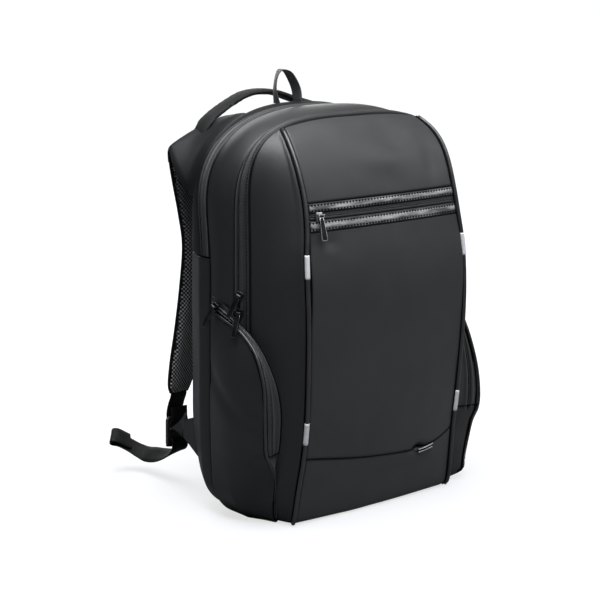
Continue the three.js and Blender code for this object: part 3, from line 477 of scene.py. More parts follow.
def addPiece(name, grids, material, nodes=(), weld=False):
    faces, start = [], 0
    for grid in grids:
        faces.append(gridFaces(grid, start))
        start += grid["points"].shape[0] * grid["points"].shape[1]
    points = np.concatenate([grid["points"].reshape(-1, 3) for grid in grids])
    maps = np.concatenate([grid["maps"].reshape(-1, 2) for grid in grids])
    points[:, 2] = np.maximum(points[:, 2], meshRules["floorGap"])  # nothing sinks into the floor
    mesh = bpy.data.meshes.new(name)
    mesh.from_pydata((points * mm).tolist(), [], np.concatenate(faces).tolist())
    writeMap(mesh, maps * mm)
    for label in sorted({label for grid in grids for label in grid.get("marks", {})}):
        values = np.concatenate([grid["marks"][label].ravel() for grid in grids])
        mesh.attributes.new(label, "FLOAT", "POINT").data.foreach_set("value", values)
    if weld:
        work = bmesh.new()
        work.from_mesh(mesh)
        bmesh.ops.remove_doubles(work, verts=work.verts, dist=meshRules["weld"])
        bmesh.ops.dissolve_degenerate(work, edges=work.edges, dist=meshRules["sliver"])
        work.to_mesh(mesh)
        work.free()
    mesh.polygons.foreach_set("use_smooth", [True] * len(mesh.polygons))
    mesh.materials.append(material)
    return placePiece(name, mesh, nodes)


# Soft unevenness of stretched cloth, in millimetres
def crumple(points, size, seed):
    flat = points.reshape(-1, 3) / size
    shift = Vector((seed * 7.13, seed * 3.71, seed * 5.29))
    values = [noise.noise(Vector(p) + shift) for p in flat]
    return np.array(values).reshape(points.shape[:-1])


# Shared shader groups
def feed(tree, socket, value):
    if isinstance(value, bpy.types.NodeSocket):
        tree.links.new(value, socket)
    else:
        socket.default_value = value


def newGroup(name, inputs, outputs):
    group = bpy.data.node_groups.new(name, "ShaderNodeTree")
    for label, kind, value in inputs:
        socket = group.interface.new_socket(label, in_out="INPUT", socket_type=kind)
        socket.default_value = value
    for label, kind in outputs:
        group.interface.new_socket(label, in_out="OUTPUT", socket_type=kind)
    start, end = group.nodes.new("NodeGroupInput"), group.nodes.new("NodeGroupOutput")
    return group, start, end


def mathNode(tree, kind, first, second=None, clamp=False):
    node = tree.nodes.new("ShaderNodeMath")
    node.operation = kind
    node.use_clamp = clamp
    for socket, value in zip(node.inputs, (first, second)):
        if value is not None:
            feed(tree, socket, value)
    return node.outputs[0]


def mapNode(tree, value, fromLow, fromHigh, toLow, toHigh):
    node = tree.nodes.new("ShaderNodeMapRange")
    for label, number in (("From Min", fromLow), ("From Max", fromHigh), ("To Min", toLow), ("To Max", toHigh)):
        node.inputs[label].default_value = number
    tree.links.new(value, node.inputs["Value"])
    return node.outputs["Result"]


def clothMap(tree):
    node = tree.nodes.new("ShaderNodeUVMap")
    node.uv_map = "realSize"
    split = tree.nodes.new("ShaderNodeSeparateXYZ")
    tree.links.new(node.outputs["UV"], split.inputs[0])
    return split.outputs["X"], split.outputs["Y"]


def mixColors(tree, factor, first, second, blend="MIX"):
    node = tree.nodes.new("ShaderNodeMix")
    node.data_type = "RGBA"
    node.blend_type = blend
    for label, value in (("Factor", factor), ("A", first), ("B", second)):
        feed(tree, node.inputs[label], value)
    return node.outputs["Result"]


# Crossed threads of a plain weave; Thread is one thread's width in metres
def weaveGroup():
    group, start, end = newGroup("fineWeave", [("Thread", "NodeSocketFloat", 0.0005)], [("Height", "NodeSocketFloat")])
    x, y = clothMap(group)
    turns = mathNode(group, "DIVIDE", math.pi, start.outputs["Thread"])
    warp = mathNode(group, "SINE", mathNode(group, "MULTIPLY", x, turns))
    weft = mathNode(group, "SINE", mathNode(group, "MULTIPLY", y, turns))
    cross = mathNode(group, "MULTIPLY", warp, weft)
    group.links.new(mapNode(group, cross, -1, 1, 0, 1), end.inputs["Height"])
    return group


# Slow variation of shade and gloss over a worn surface
shadeNoise = {"detail": 4, "roughness": 0.55, "from": 0.3, "to": 0.7}


def shadeGroup():
    group, start, end = newGroup(
        "handledShade",
        [("Color", "NodeSocketColor", (0.05, 0.05, 0.05, 1)), ("Worn", "NodeSocketColor", (0.07, 0.07, 0.07, 1)),
         ("Size", "NodeSocketFloat", 14.0), ("Gloss", "NodeSocketFloat", 0.5), ("Spread", "NodeSocketFloat", 0.1)],
        [("Color", "NodeSocketColor"), ("Roughness", "NodeSocketFloat"), ("Patch", "NodeSocketFloat")])
    place = group.nodes.new("ShaderNodeTexCoord")
    broad = group.nodes.new("ShaderNodeTexNoise")
    broad.inputs["Detail"].default_value = shadeNoise["detail"]
    broad.inputs["Roughness"].default_value = shadeNoise["roughness"]
    group.links.new(place.outputs["Object"], broad.inputs["Vector"])
    group.links.new(start.outputs["Size"], broad.inputs["Scale"])
    patch = mapNode(group, broad.outputs["Fac"], shadeNoise["from"], shadeNoise["to"], 0, 1)
    group.links.new(mixColors(group, patch, start.outputs["Color"], start.outputs["Worn"]), end.inputs["Color"])
    swing = mathNode(group, "MULTIPLY", mathNode(group, "SUBTRACT", patch, 0.5), start.outputs["Spread"])
    group.links.new(mathNode(group, "ADD", start.outputs["Gloss"], swing, clamp=True), end.inputs["Roughness"])
    group.links.new(patch, end.inputs["Patch"])
    return group


# Ribs along a tape with a fine cross thread; Rib is one rib's width in metres
ribShares = {"rib": 0.7, "cross": 0.3}


def ribGroup():
    group, start, end = newGroup("tapeRibs", [("Rib", "NodeSocketFloat", 0.0012), ("Slant", "NodeSocketFloat", 0.0)],
                                 [("Height", "NodeSocketFloat")])
    x, y = clothMap(group)
    turns = mathNode(group, "DIVIDE", 2 * math.pi, start.outputs["Rib"])
    slanted = mathNode(group, "ADD", mathNode(group, "MULTIPLY", x, start.outputs["Slant"]), y)
    ribs = mathNode(group, "SINE", mathNode(group, "MULTIPLY", slanted, turns))
    cross = mathNode(group, "SINE", mathNode(group, "MULTIPLY", x, turns))
    both = mathNode(group, "ADD", mathNode(group, "MULTIPLY", ribs, ribShares["rib"]),
                    mathNode(group, "MULTIPLY", cross, ribShares["cross"]))
    group.links.new(mapNode(group, both, -1, 1, 0, 1), end.inputs["Height"])
    return group


# Open knit over foam: holes in two offset rows; Cell is the spacing of a row in metres
netShape = {"stretch": 1.3, "rows": (0.0, 0.5), "hole": (0.28, 0.4)}


def netGroup():
    group, start, end = newGroup("openNet", [("Cell", "NodeSocketFloat", 0.005)],
                                 [("Hole", "NodeSocketFloat"), ("Height", "NodeSocketFloat")])
    x, y = clothMap(group)
    across = mathNode(group, "DIVIDE", x, start.outputs["Cell"])
    along = mathNode(group, "DIVIDE", y, mathNode(group, "MULTIPLY", start.outputs["Cell"], netShape["stretch"]))
    nearest = None
    for shift in netShape["rows"]:
        dx, dy = (mathNode(group, "SUBTRACT", mathNode(group, "FRACT", mathNode(group, "ADD", way, shift)), 0.5)
                  for way in (across, along))
        squares = mathNode(group, "ADD", mathNode(group, "POWER", dx, 2), mathNode(group, "POWER", dy, 2))
        distance = mathNode(group, "SQRT", squares)
        nearest = distance if nearest is None else mathNode(group, "MINIMUM", nearest, distance)
    hole = mapNode(group, nearest, *netShape["hole"], 1, 0)
    group.links.new(hole, end.inputs["Hole"])
    group.links.new(mathNode(group, "SUBTRACT", 1.0, hole), end.inputs["Height"])
    return group


groups = {"weave": weaveGroup(), "shade": shadeGroup(), "ribs": ribGroup(), "net": netGroup()}


def placeGroup(tree, key, **values):
    node = tree.nodes.new("ShaderNodeGroup")
    node.node_tree = groups[key]
    for label, value in values.items():
        node.inputs[label].default_value = value
    return node


def newFinish(name, **sockets):
    material = bpy.data.materials.new(name)
    material.use_nodes = True
    shader = material.node_tree.nodes["Principled BSDF"]
    for label, value in sockets.items():
        shader.inputs[label.replace("_", " ")].default_value = value
    return material, material.node_tree, shader


def addBump(tree, shader, height, strength, distance):
    node = tree.nodes.new("ShaderNodeBump")
    node.inputs["Strength"].default_value = strength
    node.inputs["Distance"].default_value = distance
    tree.links.new(height, node.inputs["Height"])
    tree.links.new(node.outputs["Normal"], shader.inputs["Normal"])


seamShadeBlack = (0.0012, 0.0012, 0.0013, 1)


# Painted seam shade: colour and gloss fall away where a piece is marked as lying in a seam's shadow; black with full
# Metallic mirrors almost nothing
def paintSeamShade(tree, shader, color, level):
    mark = tree.nodes.new("ShaderNodeAttribute")
    mark.attribute_name = "seam"
    tree.links.new(mixColors(tree, mark.outputs["Fac"], color, seamShadeBlack), shader.inputs["Base Color"])
    tree.links.new(mark.outputs["Fac"], shader.inputs["Metallic"])
    shader.inputs["Specular IOR Level"].default_value = level


def grey(value, tint=0.0):
    return (value, value * (1 + tint * 0.4), value * (1 + tint), 1)


# Coated cloth; clothWeave is what all three kinds share
clothLooks = {
    "frontCloth": {"color": 0.014, "worn": 0.018, "gloss": 0.44, "sheen": 0.05, "level": 0.32},
    "sideCloth": {"color": 0.0085, "worn": 0.0115, "gloss": 0.47, "sheen": 0.0, "level": 0.32},
    # yokeCloth is darker and less glossy than the side cloth, partly painted shade on the yoke, back band and strap
    # cloth
    "yokeCloth": {"color": 0.006, "worn": 0.008, "gloss": 0.56, "sheen": 0.0, "level": 0.1},
}
clothWeave = {"thread": 0.00045, "tint": 0.06, "size": 11.0, "spread": 0.07, "sheenRoughness": 0.5, "shade": 0.25,
              "bump": 0.12, "deep": 0.0002}


def coatedCloth(name, color, worn, gloss, sheen, level):
    base = clothWeave
    material, tree, shader = newFinish(name, Sheen_Weight=sheen, Sheen_Roughness=base["sheenRoughness"])
    shade = placeGroup(tree, "shade", Color=grey(color, base["tint"]), Worn=grey(worn, base["tint"]), Size=base["size"],
                       Gloss=gloss, Spread=base["spread"])
    weave = placeGroup(tree, "weave", Thread=base["thread"])
    woven = mixColors(tree, base["shade"], shade.outputs["Color"], weave.outputs["Height"], "MULTIPLY")
    paintSeamShade(tree, shader, woven, level)
    tree.links.new(shade.outputs["Roughness"], shader.inputs["Roughness"])
    addBump(tree, shader, weave.outputs["Height"], base["bump"], base["deep"])
    return material


netLook = {"cell": 0.0038, "color": grey(0.33), "worn": grey(0.43), "hole": grey(0.001), "size": 30.0, "gloss": 0.6,
           "spread": 0.1, "sheen": 0.15, "level": 0.3, "bump": 0.8, "deep": 0.001}


def netFinish():
    look = netLook
    material, tree, shader = newFinish("openMesh", Sheen_Weight=look["sheen"], Specular_IOR_Level=look["level"])
    net = placeGroup(tree, "net", Cell=look["cell"])
    shade = placeGroup(tree, "shade", Color=look["color"], Worn=look["worn"], Size=look["size"], Gloss=look["gloss"],
                       Spread=look["spread"])
    knit = mixColors(tree, net.outputs["Hole"], shade.outputs["Color"], look["hole"])
    tree.links.new(knit, shader.inputs["Base Color"])
    tree.links.new(shade.outputs["Roughness"], shader.inputs["Roughness"])
    addBump(tree, shader, net.outputs["Height"], look["bump"], look["deep"])
    return material


# Ribbed tapes; ribWeave is what they share
ribLooks = {
    "zipTape": {"color": 0.009, "worn": 0.012, "rib": 0.0011, "gloss": 0.55, "strength": 0.25},
    "zipCoil": {"color": 0.005, "worn": 0.008, "rib": 0.0008, "gloss": 0.4},
    "pocketTape": {"color": 0.0115, "worn": 0.015, "rib": 0.0016, "gloss": 0.55, "slant": 0.6},
    "webbing": {"color": 0.0035, "worn": 0.005, "rib": 0.0022, "gloss": 0.66, "level": 0.13, "sheen": 0.02},
    "loopTape": {"color": 0.035, "worn": 0.045, "rib": 0.0014, "gloss": 0.6},
}
ribWeave = {"size": 40.0, "spread": 0.12, "shade": 0.5, "deep": 0.0004}


def ribFinish(name, color, worn, rib, gloss, strength=0.5, slant=0.0, level=0.35, sheen=0.1):
    material, tree, shader = newFinish(name, Sheen_Weight=sheen)
    ribs = placeGroup(tree, "ribs", Rib=rib, Slant=slant)
    shade = placeGroup(tree, "shade", Color=grey(color), Worn=grey(worn), Size=ribWeave["size"], Gloss=gloss,
                       Spread=ribWeave["spread"])
    ribbed = mixColors(tree, ribWeave["shade"], shade.outputs["Color"], ribs.outputs["Height"], "MULTIPLY")
    paintSeamShade(tree, shader, ribbed, level)
    tree.links.new(shade.outputs["Roughness"], shader.inputs["Roughness"])
    addBump(tree, shader, ribs.outputs["Height"], strength, ribWeave["deep"])
    return material


# Thread, trim, plastic and metal
smoothLooks = {
    "thread": {"color": grey(0.002), "worn": grey(0.003), "gloss": 0.8, "size": 200.0, "Specular_IOR_Level": 0.03},
    "tabThreadAndHighlight": {"color": grey(0.2), "worn": grey(0.26), "gloss": 0.6, "size": 200.0},
    "piping": {"color": grey(0.011, 0.06), "worn": grey(0.015, 0.06), "gloss": 0.4, "size": 60.0},
    "reflector": {"color": grey(0.38, 0.03), "worn": grey(0.45, 0.03), "gloss": 0.4, "size": 160.0},
    "plastic": {"color": grey(0.008), "worn": grey(0.012), "gloss": 0.34, "spread": 0.12, "size": 90.0},
    "nickel": {"color": grey(0.12, 0.03), "worn": grey(0.16, 0.03), "gloss": 0.34, "spread": 0.08, "size": 120.0,
               "bumpStrength": 0.01, "Metallic": 1.0},
    "chrome": {"color": grey(0.72, 0.02), "worn": grey(0.8, 0.02), "gloss": 0.3, "spread": 0.06, "size": 120.0,
               "bumpStrength": 0.01, "Metallic": 1.0},
    "gunmetal": {"color": grey(0.03, 0.05), "worn": grey(0.045, 0.05), "gloss": 0.34, "spread": 0.08, "size": 120.0,
                 "bumpStrength": 0.01, "Metallic": 1.0},
}
smoothDeep = 0.0003


def smoothFinish(name, color, worn, gloss, size, spread=0.1, bumpStrength=0.1, **sockets):
    material, tree, shader = newFinish(name, **sockets)
    shade = placeGroup(tree, "shade", Color=color, Worn=worn, Size=size, Gloss=gloss, Spread=spread)
    tree.links.new(shade.outputs["Color"], shader.inputs["Base Color"])
    tree.links.new(shade.outputs["Roughness"], shader.inputs["Roughness"])
    addBump(tree, shader, shade.outputs["Patch"], bumpStrength, smoothDeep)
    return material


# Patent tape: a painted highlight, pale streaks along the middle, in patches
patentLook = {
    "color": grey(0.004), "streak": grey(0.3), "gloss": 0.26, "coat": 0.3, "coatRoughness": 0.12, "level": 0.45,
    "stretch": (24, 24, 130), "detail": 3, "patch": (0.42, 0.62, 0.2, 1), "bump": 0.15, "deep": 0.0004,
}


def patentFinish(name):
    look = patentLook
    material, tree, shader = newFinish(name, Roughness=look["gloss"], Coat_Weight=look["coat"],
                                       Coat_Roughness=look["coatRoughness"])
    place = tree.nodes.new("ShaderNodeTexCoord")
    stretch = tree.nodes.new("ShaderNodeVectorMath")
    stretch.operation = "MULTIPLY"
    stretch.inputs[1].default_value = look["stretch"]
    patch = tree.nodes.new("ShaderNodeTexNoise")
    patch.inputs["Scale"].default_value = 1.0
    patch.inputs["Detail"].default_value = look["detail"]
    tree.links.new(place.outputs["Object"], stretch.inputs[0])
    tree.links.new(stretch.outputs[0], patch.inputs["Vector"])
    mark = tree.nodes.new("ShaderNodeAttribute")
    mark.attribute_name = "streak"
    patches = mapNode(tree, patch.outputs["Fac"], *look["patch"])
    amount = mathNode(tree, "MULTIPLY", patches, mark.outputs["Fac"])
    paintSeamShade(tree, shader, mixColors(tree, amount, look["color"], look["streak"]), look["level"])
    addBump(tree, shader, patch.outputs["Fac"], look["bump"], look["deep"])
    return material


finishes = {name: coatedCloth(name, **look) for name, look in clothLooks.items()}
finishes["net"] = netFinish()
finishes["glossBand"] = patentFinish("glossBand")
finishes.update({name: ribFinish(name, **look) for name, look in ribLooks.items()})
finishes.update({name: smoothFinish(name, **look) for name, look in smoothLooks.items()})
print("finishes made:", len(finishes))


def bandFace(rear, fore, low, high):
    return lambda a, b: skinAt(between(rear, fore, a), between(low, high, b))


# Back band, main band and plain strips of the sides
bandLook = {
    "backPuff": 2.0, "topPuff": 3.5, "mainPuff": 4.5, "stripPuff": 2.0, "unevenness": 0.7, "unevenSize": 70,
    "ground": (2, 70), "crest": (420, 464), "mainRoll": 2.2, "mainSeamShade": 0.7, "stripSeamShade": 0.55, "stripGap": 0.0006,
    "zipEnds": (-0.0025, 0.0005), "step": 150,
}


def buildBands():
    def puffed(amount, seed):
        return lambda a, b, p: smooth(p[..., 2], *bandLook["ground"]) * (
            amount * np.sin(math.pi * a) + bandLook["unevenness"] * crumple(p, bandLook["unevenSize"], seed))

    plain = puffed(bandLook["backPuff"], 1)

    def backRelief(a, b, p):
        return plain(a, b, p) + bandLook["topPuff"] * np.sin(math.pi * a) * smooth(p[..., 2], *bandLook["crest"])

    laptop = shares["laptop"]
    back = panelGrid(bandFace(backEdge, laptopRear, laptop, 1 - laptop), 14, bandLook["step"], relief=backRelief)
    addPiece("backBand", [back], finishes["yokeCloth"], ["back_band"])

    def mainFace(a, b):
        share = between(shares["floor"], 1 - shares["floor"], b)
        near = np.minimum(share, 1 - share)
        fore = mainFront - smooth(near, *(shares["main"] + end for end in bandLook["zipEnds"]))
        return skinAt(between(laptopFront, fore, a), share)

    main = panelGrid(mainFace, 16, bandLook["step"] * 2, bandLook["mainRoll"], relief=puffed(bandLook["mainPuff"], 2),
                     sewn=bandLook["mainSeamShade"])
    addPiece("mainBand", [main], finishes["sideCloth"], ["main_band"])

    strip = panelGrid(bandFace(backEdge, laptopFront, shares["floor"], laptop - bandLook["stripGap"]), 20, 80,
                      relief=puffed(bandLook["stripPuff"], 3), sewn=bandLook["stripSeamShade"])
    for side, turn in bothSides:
        addPiece("sideStrip." + side, [turn(strip)], finishes["sideCloth"], ["side_strip_" + side])


buildBands()
print("side bands made")

# Arched zips: a welt each side of the slit, tape in front, and the coil in the slit
zipLook = {
    "welt": 1.7, "weltWide": 0.085, "weltGap": 1.45, "hemAt": 0.9, "hemTall": 0.5, "slit": 0.3, "slitDepth": 2.4,
    "slitWide": 0.045, "slitShade": 1.5, "roll": 1.6, "seamShadeTop": (0.6, 410, 440), "coil": 1.0, "coilSunk": 0.6,
    "tooth": 0.9, "toothGap": 0.72, "sewnAt": 0.8, "sewnUp": 0.5, "stitch": 2.2, "pitch": 3.8, "thread": 0.6,
    "run": 600,
}


def zipRelief(a, b, points):
    slit, wide = zipLook["slit"], zipLook["weltWide"]
    gap = zipLook["weltGap"] * wide
    welts = bump(a, slit - gap, wide) + bump(a, slit + gap, wide) + zipLook["hemTall"] * bump(a, zipLook["hemAt"], wide)
    return zipLook["welt"] * welts - zipLook["slitDepth"] * bump(a, slit, zipLook["slitWide"])


def zipShade(a, b):
    return bump(a, zipLook["slit"], zipLook["slitWide"] * zipLook["slitShade"])


def stitchGrids(path, outward, look):
    path = evenPath(path, look["pitch"])
    ends = np.linspace(-look["stitch"] / 2, look["stitch"] / 2, 4)[:, None]
    radius = look["thread"] * np.array([0.5, 1, 1, 0.5])
    ways = unit(np.gradient(path, axis=0))
    return [tubeGrid(point + way * ends, radius, 5, outward) for point, way in zip(path, ways)]


def coilGrid(path, outward, radius):
    path = evenPath(path, zipLook["tooth"])
    teeth = radius * np.where(np.arange(len(path)) % 2, 1.0, zipLook["toothGap"])
    return tubeGrid(path, teeth, 6, outward)


def archLine(across, end, up):
    line = skinAt(across, np.linspace(end, 1 - end, zipLook["run"]))
    return line + unit(line - np.array(bagForm["centre"])) * up


def buildArchedZips():
    backward = (0, 1, 0)
    for name, rear, key in (("zipLaptop", laptopRear, "laptop"), ("zipMain", mainRear, "main")):
        end = shares[key]
        tape = panelGrid(bandFace(rear, rear + 1, end, 1 - end), 40, bandLook["step"], zipLook["roll"],
                         relief=zipRelief, seamShadeTop=zipLook["seamShadeTop"], marks={"seam": zipShade})
        addPiece(name, [tape], finishes["zipTape"], ["zip_" + key])
        coil = coilGrid(archLine(rear + zipLook["slit"], end, -zipLook["coilSunk"]), backward, zipLook["coil"])
        addPiece(name + ".coil", [coil], finishes["zipCoil"], weld=True)
    sewn = archLine(mainRear + zipLook["sewnAt"], shares["main"], zipLook["sewnUp"])
    stitches = stitchGrids(sewn, backward, zipLook)
    addPiece("zipMain.stitches", stitches, finishes["thread"], weld=True)


buildArchedZips()
print("arched zips made")

# Gussets and base
gussetLook = {
    "low": 0.3, "high": 453.5, "puff": 3.0, "topRun": 1.02, "unevenness": 0.8, "unevenSize": 60, "edge": 2.6,
    "ridge": 1.4, "ridgeIn": 3.6, "ridgeWide": 1.5, "ground": (2, 60), "ridgeGround": (2, 20), "roll": 2.2, "skirt": 7,
}
baseLook = {"front": -61, "crown": 6, "back": 49.5, "height": 0.2, "nose": -62, "noseHalf": 121, "roll": 1.5,
            "skirt": 1.5}


def buildGussets():
    look = gussetLook

    def face(a, b):
        z = between(look["low"], look["high"], b)
        long = np.linalg.norm(gussetAt(0.0, z) - gussetAt(1.0, z), axis=-1)
        return gussetAt(a * (1 - np.minimum(look["edge"] / long, 0.5)), z)

    def relief(a, b, points):
        z = points[..., 2]
        swell = np.sin(math.pi * a) * np.sin(math.pi * np.clip(b * look["topRun"], 0, 1)) ** 0.5
        inward = edgeDistances(points)[1]
        ridge = look["ridge"] * bump(inward, look["ridgeIn"], look["ridgeWide"]) * smooth(z, *look["ridgeGround"])
        uneven = look["unevenness"] * crumple(points, look["unevenSize"], 5)
        return look["puff"] * swell * smooth(z, *look["ground"]) + ridge + uneven

    left = panelGrid(face, 20, 130, look["roll"], relief=relief, skirt=look["skirt"])
    for side, turn in bothSides:
        addPiece("gusset." + side, [turn(left)], finishes["sideCloth"], ["front_gusset_" + side])


def buildBase():
    look = baseLook
    outline = [seamPoint(seam, shares["floor"]) for seam in reversed(seams)]
    ys = np.array([look["nose"], *[p[1] for p in outline]])
    halves = np.array([look["noseHalf"], *[-p[0] for p in outline]])

    def face(a, b):
        u = 2 * a - 1
        y = between(look["front"], look["back"], b) - look["crown"] * (1 - u * u) * (1 - b)
        return np.stack([u * np.interp(y, ys, halves), y, np.full_like(u, look["height"])], -1)

    base = panelGrid(face, 40, 20, look["roll"], outward=(0, 0, -1), skirt=look["skirt"])
    addPiece("basePanel", [base], finishes["sideCloth"], ["base_panel"])


buildGussets()
buildBase()
print("gussets and base made")

# Front panels with the glossy zip bands between them
frontLook = {
    "panels": {"lower": {"from": 0.3, "to": 81, "roll": 1.5, "steps": 36},
               "main": {"from": 81, "to": 343, "roll": 1.5, "steps": 90},
               "top": {"from": 375, "to": 454.8, "roll": 1.8, "steps": 44}},
    "edge": 2.4, "across": 90, "skirt": 7, "seamShadeTop": (0.85, 440, 450), "seed": 10,
    "broad": {"deep": 0.9, "size": 90}, "fine": {"deep": 0.25, "size": 24},
    "fullness": {"deep": 3.2, "z": 286, "tall": 44},
}
frontDents = [
    {"deep": -2.6, "x": 38, "wide": 30, "z": 436, "tall": 14},
    {"deep": 1.8, "x": 14, "wide": 34, "z": 416, "tall": 16},
    {"deep": -5, "x": 60, "wide": 8, "z": 64, "tall": 4.5},
    {"deep": -1.6, "x": 92, "wide": 14, "z": 410, "tall": 22},
    {"deep": -1.2, "x": -92, "wide": 12, "z": 330, "tall": 8},
]
glossLook = {
    "lower": (343, 356.2), "upper": (364.3, 375), "lift": 0.7, "crown": 0.4, "roll": 1.2,
    "seams": (0.23, 0.77), "seamDeep": 0.4, "seamWide": 0.06,
    "streak": {"broad": 0.55, "edge": 0.42, "fine": 0.45, "wide": 0.15},
    "stitch": 2.7, "pitch": 4.7, "thread": 1.0, "sewnTo": 0.975, "sewnOut": 0.35, "sewnUp": 0.05,
}
frontZipLook = {"roll": 0.8, "lift": -0.6, "ridge": 0.5, "slitDepth": 1.2, "slitWide": 0.1, "coil": 0.9, "coilTo": 0.97,
                "coilSunk": 0.7}


def acrossFront(a, z):
    edge = 1 - frontLook["edge"] / tableAt(frontRows, "z", "half", z)
    return (2 * a - 1) * edge


def stretchFace(low, high):
    def face(a, b):
        z = between(low, high, b)
        return frontAt(acrossFront(a, z), z)
    return face


def frontRelief(seed):
    broad, fine, full = (frontLook[key] for key in ("broad", "fine", "fullness"))

    def relief(a, b, points):
        x, z = points[..., 0], points[..., 2]
        height = broad["deep"] * crumple(points, broad["size"], seed)
        height += fine["deep"] * crumple(points, fine["size"], seed + 1)
        for dent in frontDents:
            height += dent["deep"] * bump(x, dent["x"], dent["wide"]) * bump(z, dent["z"], dent["tall"])
        return height + full["deep"] * bump(z, full["z"], full["tall"])
    return relief


def glossRelief(a, b, points):
    first, second = (bump(b, place, glossLook["seamWide"]) for place in glossLook["seams"])
    return glossLook["crown"] * np.sin(math.pi * b) - glossLook["seamDeep"] * (first + second)


# The band's painted highlight along its middle, for the finish's pale streaks
def glossPaintedHighlight(a, b):
    look = glossLook["streak"]
    return look["broad"] * np.exp(-((b - 0.5) / look["edge"]) ** 10) + look["fine"] * bump(b, 0.5, look["wide"])


def frontZipRelief(a, b, points):
    ridges = frontZipLook["ridge"] * np.abs(np.sin(2 * math.pi * b))
    return ridges - frontZipLook["slitDepth"] * bump(b, 0.5, frontZipLook["slitWide"])


def buildFront():
    forward = (0, -1, 0)
    across = frontLook["across"]
    for seed, (name, look) in enumerate(frontLook["panels"].items()):
        relief = frontRelief(frontLook["seed"] + seed)
        grid = panelGrid(stretchFace(look["from"], look["to"]), across, look["steps"], look["roll"], relief=relief,
                         skirt=frontLook["skirt"], seamShadeTop=frontLook["seamShadeTop"])
        addPiece("frontPanel." + name, [grid], finishes["frontCloth"], ["front_panel_" + name])

    stitches = []
    proud = np.array([0, -glossLook["lift"] - glossLook["sewnOut"], glossLook["sewnUp"]])
    for name in ("lower", "upper"):
        low, high = glossLook[name]
        band = panelGrid(stretchFace(low, high), across, 14, glossLook["roll"], relief=glossRelief,
                         lift=glossLook["lift"], marks={"streak": glossPaintedHighlight})
        addPiece("glossBand." + name, [band], finishes["glossBand"], ["zip_band_" + name])
        for place in glossLook["seams"]:
            line = frontAt(np.linspace(-glossLook["sewnTo"], glossLook["sewnTo"], 120), between(low, high, place))
            stitches += stitchGrids(line + proud, forward, glossLook)
    addPiece("bandStitches", stitches, finishes["thread"], weld=True)

    look = frontZipLook
    low, high = glossLook["lower"][1], glossLook["upper"][0]
    tape = panelGrid(stretchFace(low, high), 60, 16, look["roll"], lift=look["lift"], relief=frontZipRelief)
    addPiece("frontZip", [tape], finishes["zipTape"], ["front_zip"])
    line = frontAt(np.linspace(-look["coilTo"], look["coilTo"], 200), (low + high) / 2)
    coil = coilGrid(line + np.array([0, look["coilSunk"], 0]), forward, look["coil"])
    addPiece("frontZip.coil", [coil], finishes["zipCoil"], weld=True)


buildFront()
print("front made")

# Piping with reflective sleeves, and a black cord behind it in the seam: painted shadow, standing in for the seam's
# shade beside the piping
pipingLook = {
    "radius": 2.5, "low": 3, "high": 454, "step": 4, "proud": 1.5, "core": 2.2, "sunk": 1.6, "middle": (0, 20, 0),
    "hint": (0.5, -0.8, 0.1), "sleeve": 2.95, "sleeveStep": 2, "sleeveEnd": 0.9,
    "sleeves": {"upper": (292, 319), "lower": (99.5, 125.5)},
}


def buildPiping():
    look = pipingLook

    def line(low, high, step, proud):
        z = np.linspace(low, high, int((high - low) / step) + 2)
        path = frontAt(np.full_like(z, -1.0), z)
        return path + unit(path * np.array([1, 1, 0]) - np.array(look["middle"])) * proud

    # The black cord is painted shadow, sunk behind the piping where the seam is in shade
    core = tubeGrid(line(look["low"], look["high"], look["step"], -look["sunk"]), look["core"], 10, look["hint"])
    for side, turn in bothSides:
        addPiece("pipingShadowCord." + side, [turn(core)], finishes["thread"], weld=True)
    cord = tubeGrid(line(look["low"], look["high"], look["step"], look["proud"]), look["radius"], 12, look["hint"])
    for side, turn in bothSides:
        addPiece("piping." + side, [turn(cord)], finishes["piping"], ["piping_" + side], weld=True)
    for place, (low, high) in look["sleeves"].items():
        path = line(low, high, look["sleeveStep"], look["proud"])
        radius = look["sleeve"] * np.ones(len(path))
        radius[[0, -1]] *= look["sleeveEnd"]
        sleeve = tubeGrid(path, radius, 14, look["hint"])
        for side, turn in bothSides:
            addPiece("reflector." + place + "." + side, [turn(sleeve)], finishes["reflector"],
                     ["reflector_" + place + "_" + side], weld=True)


buildPiping()
print("piping made")

# Side pockets: the panel leaves the side as a box, and a zipped strip faces forward
pocketLip = [
    {"z": 74, "x": -163, "y": -63, "seamZ": 70, "across": 4.5},
    {"z": 90, "x": -167, "y": -65, "seamZ": 84, "across": 4.53},
    {"z": 108, "x": -168, "y": -65, "seamZ": 100, "across": 4.56},
    {"z": 139, "x": -169, "y": -65, "seamZ": 138, "across": 4.56},
    {"z": 171, "x": -169, "y": -63, "seamZ": 168, "across": 4.47},
    {"z": 201, "x": -169.5, "y": -52, "seamZ": 200, "across": 4.27},
    {"z": 217, "x": -169.5, "y": -37.5, "seamZ": 222, "across": 4.05},
    {"z": 229, "x": -170, "y": -20, "seamZ": 235, "across": 3.45},
    {"z": 237, "x": -171, "y": 2, "seamZ": 250, "across": 2.95},
    {"z": 243, "x": -171.5, "y": 18, "seamZ": 261, "across": 2.5},
    {"z": 246.5, "x": -171.5, "y": 27, "seamZ": 265, "across": 2.15},
]
pocketFoot = [
    {"z": 4.5, "seamZ": 4.5, "across": 4.52}, {"z": 14, "seamZ": 14, "across": 4.55},
    {"z": 30, "seamZ": 30, "across": 4.56}, {"z": 52, "seamZ": 51, "across": 4.55},
]
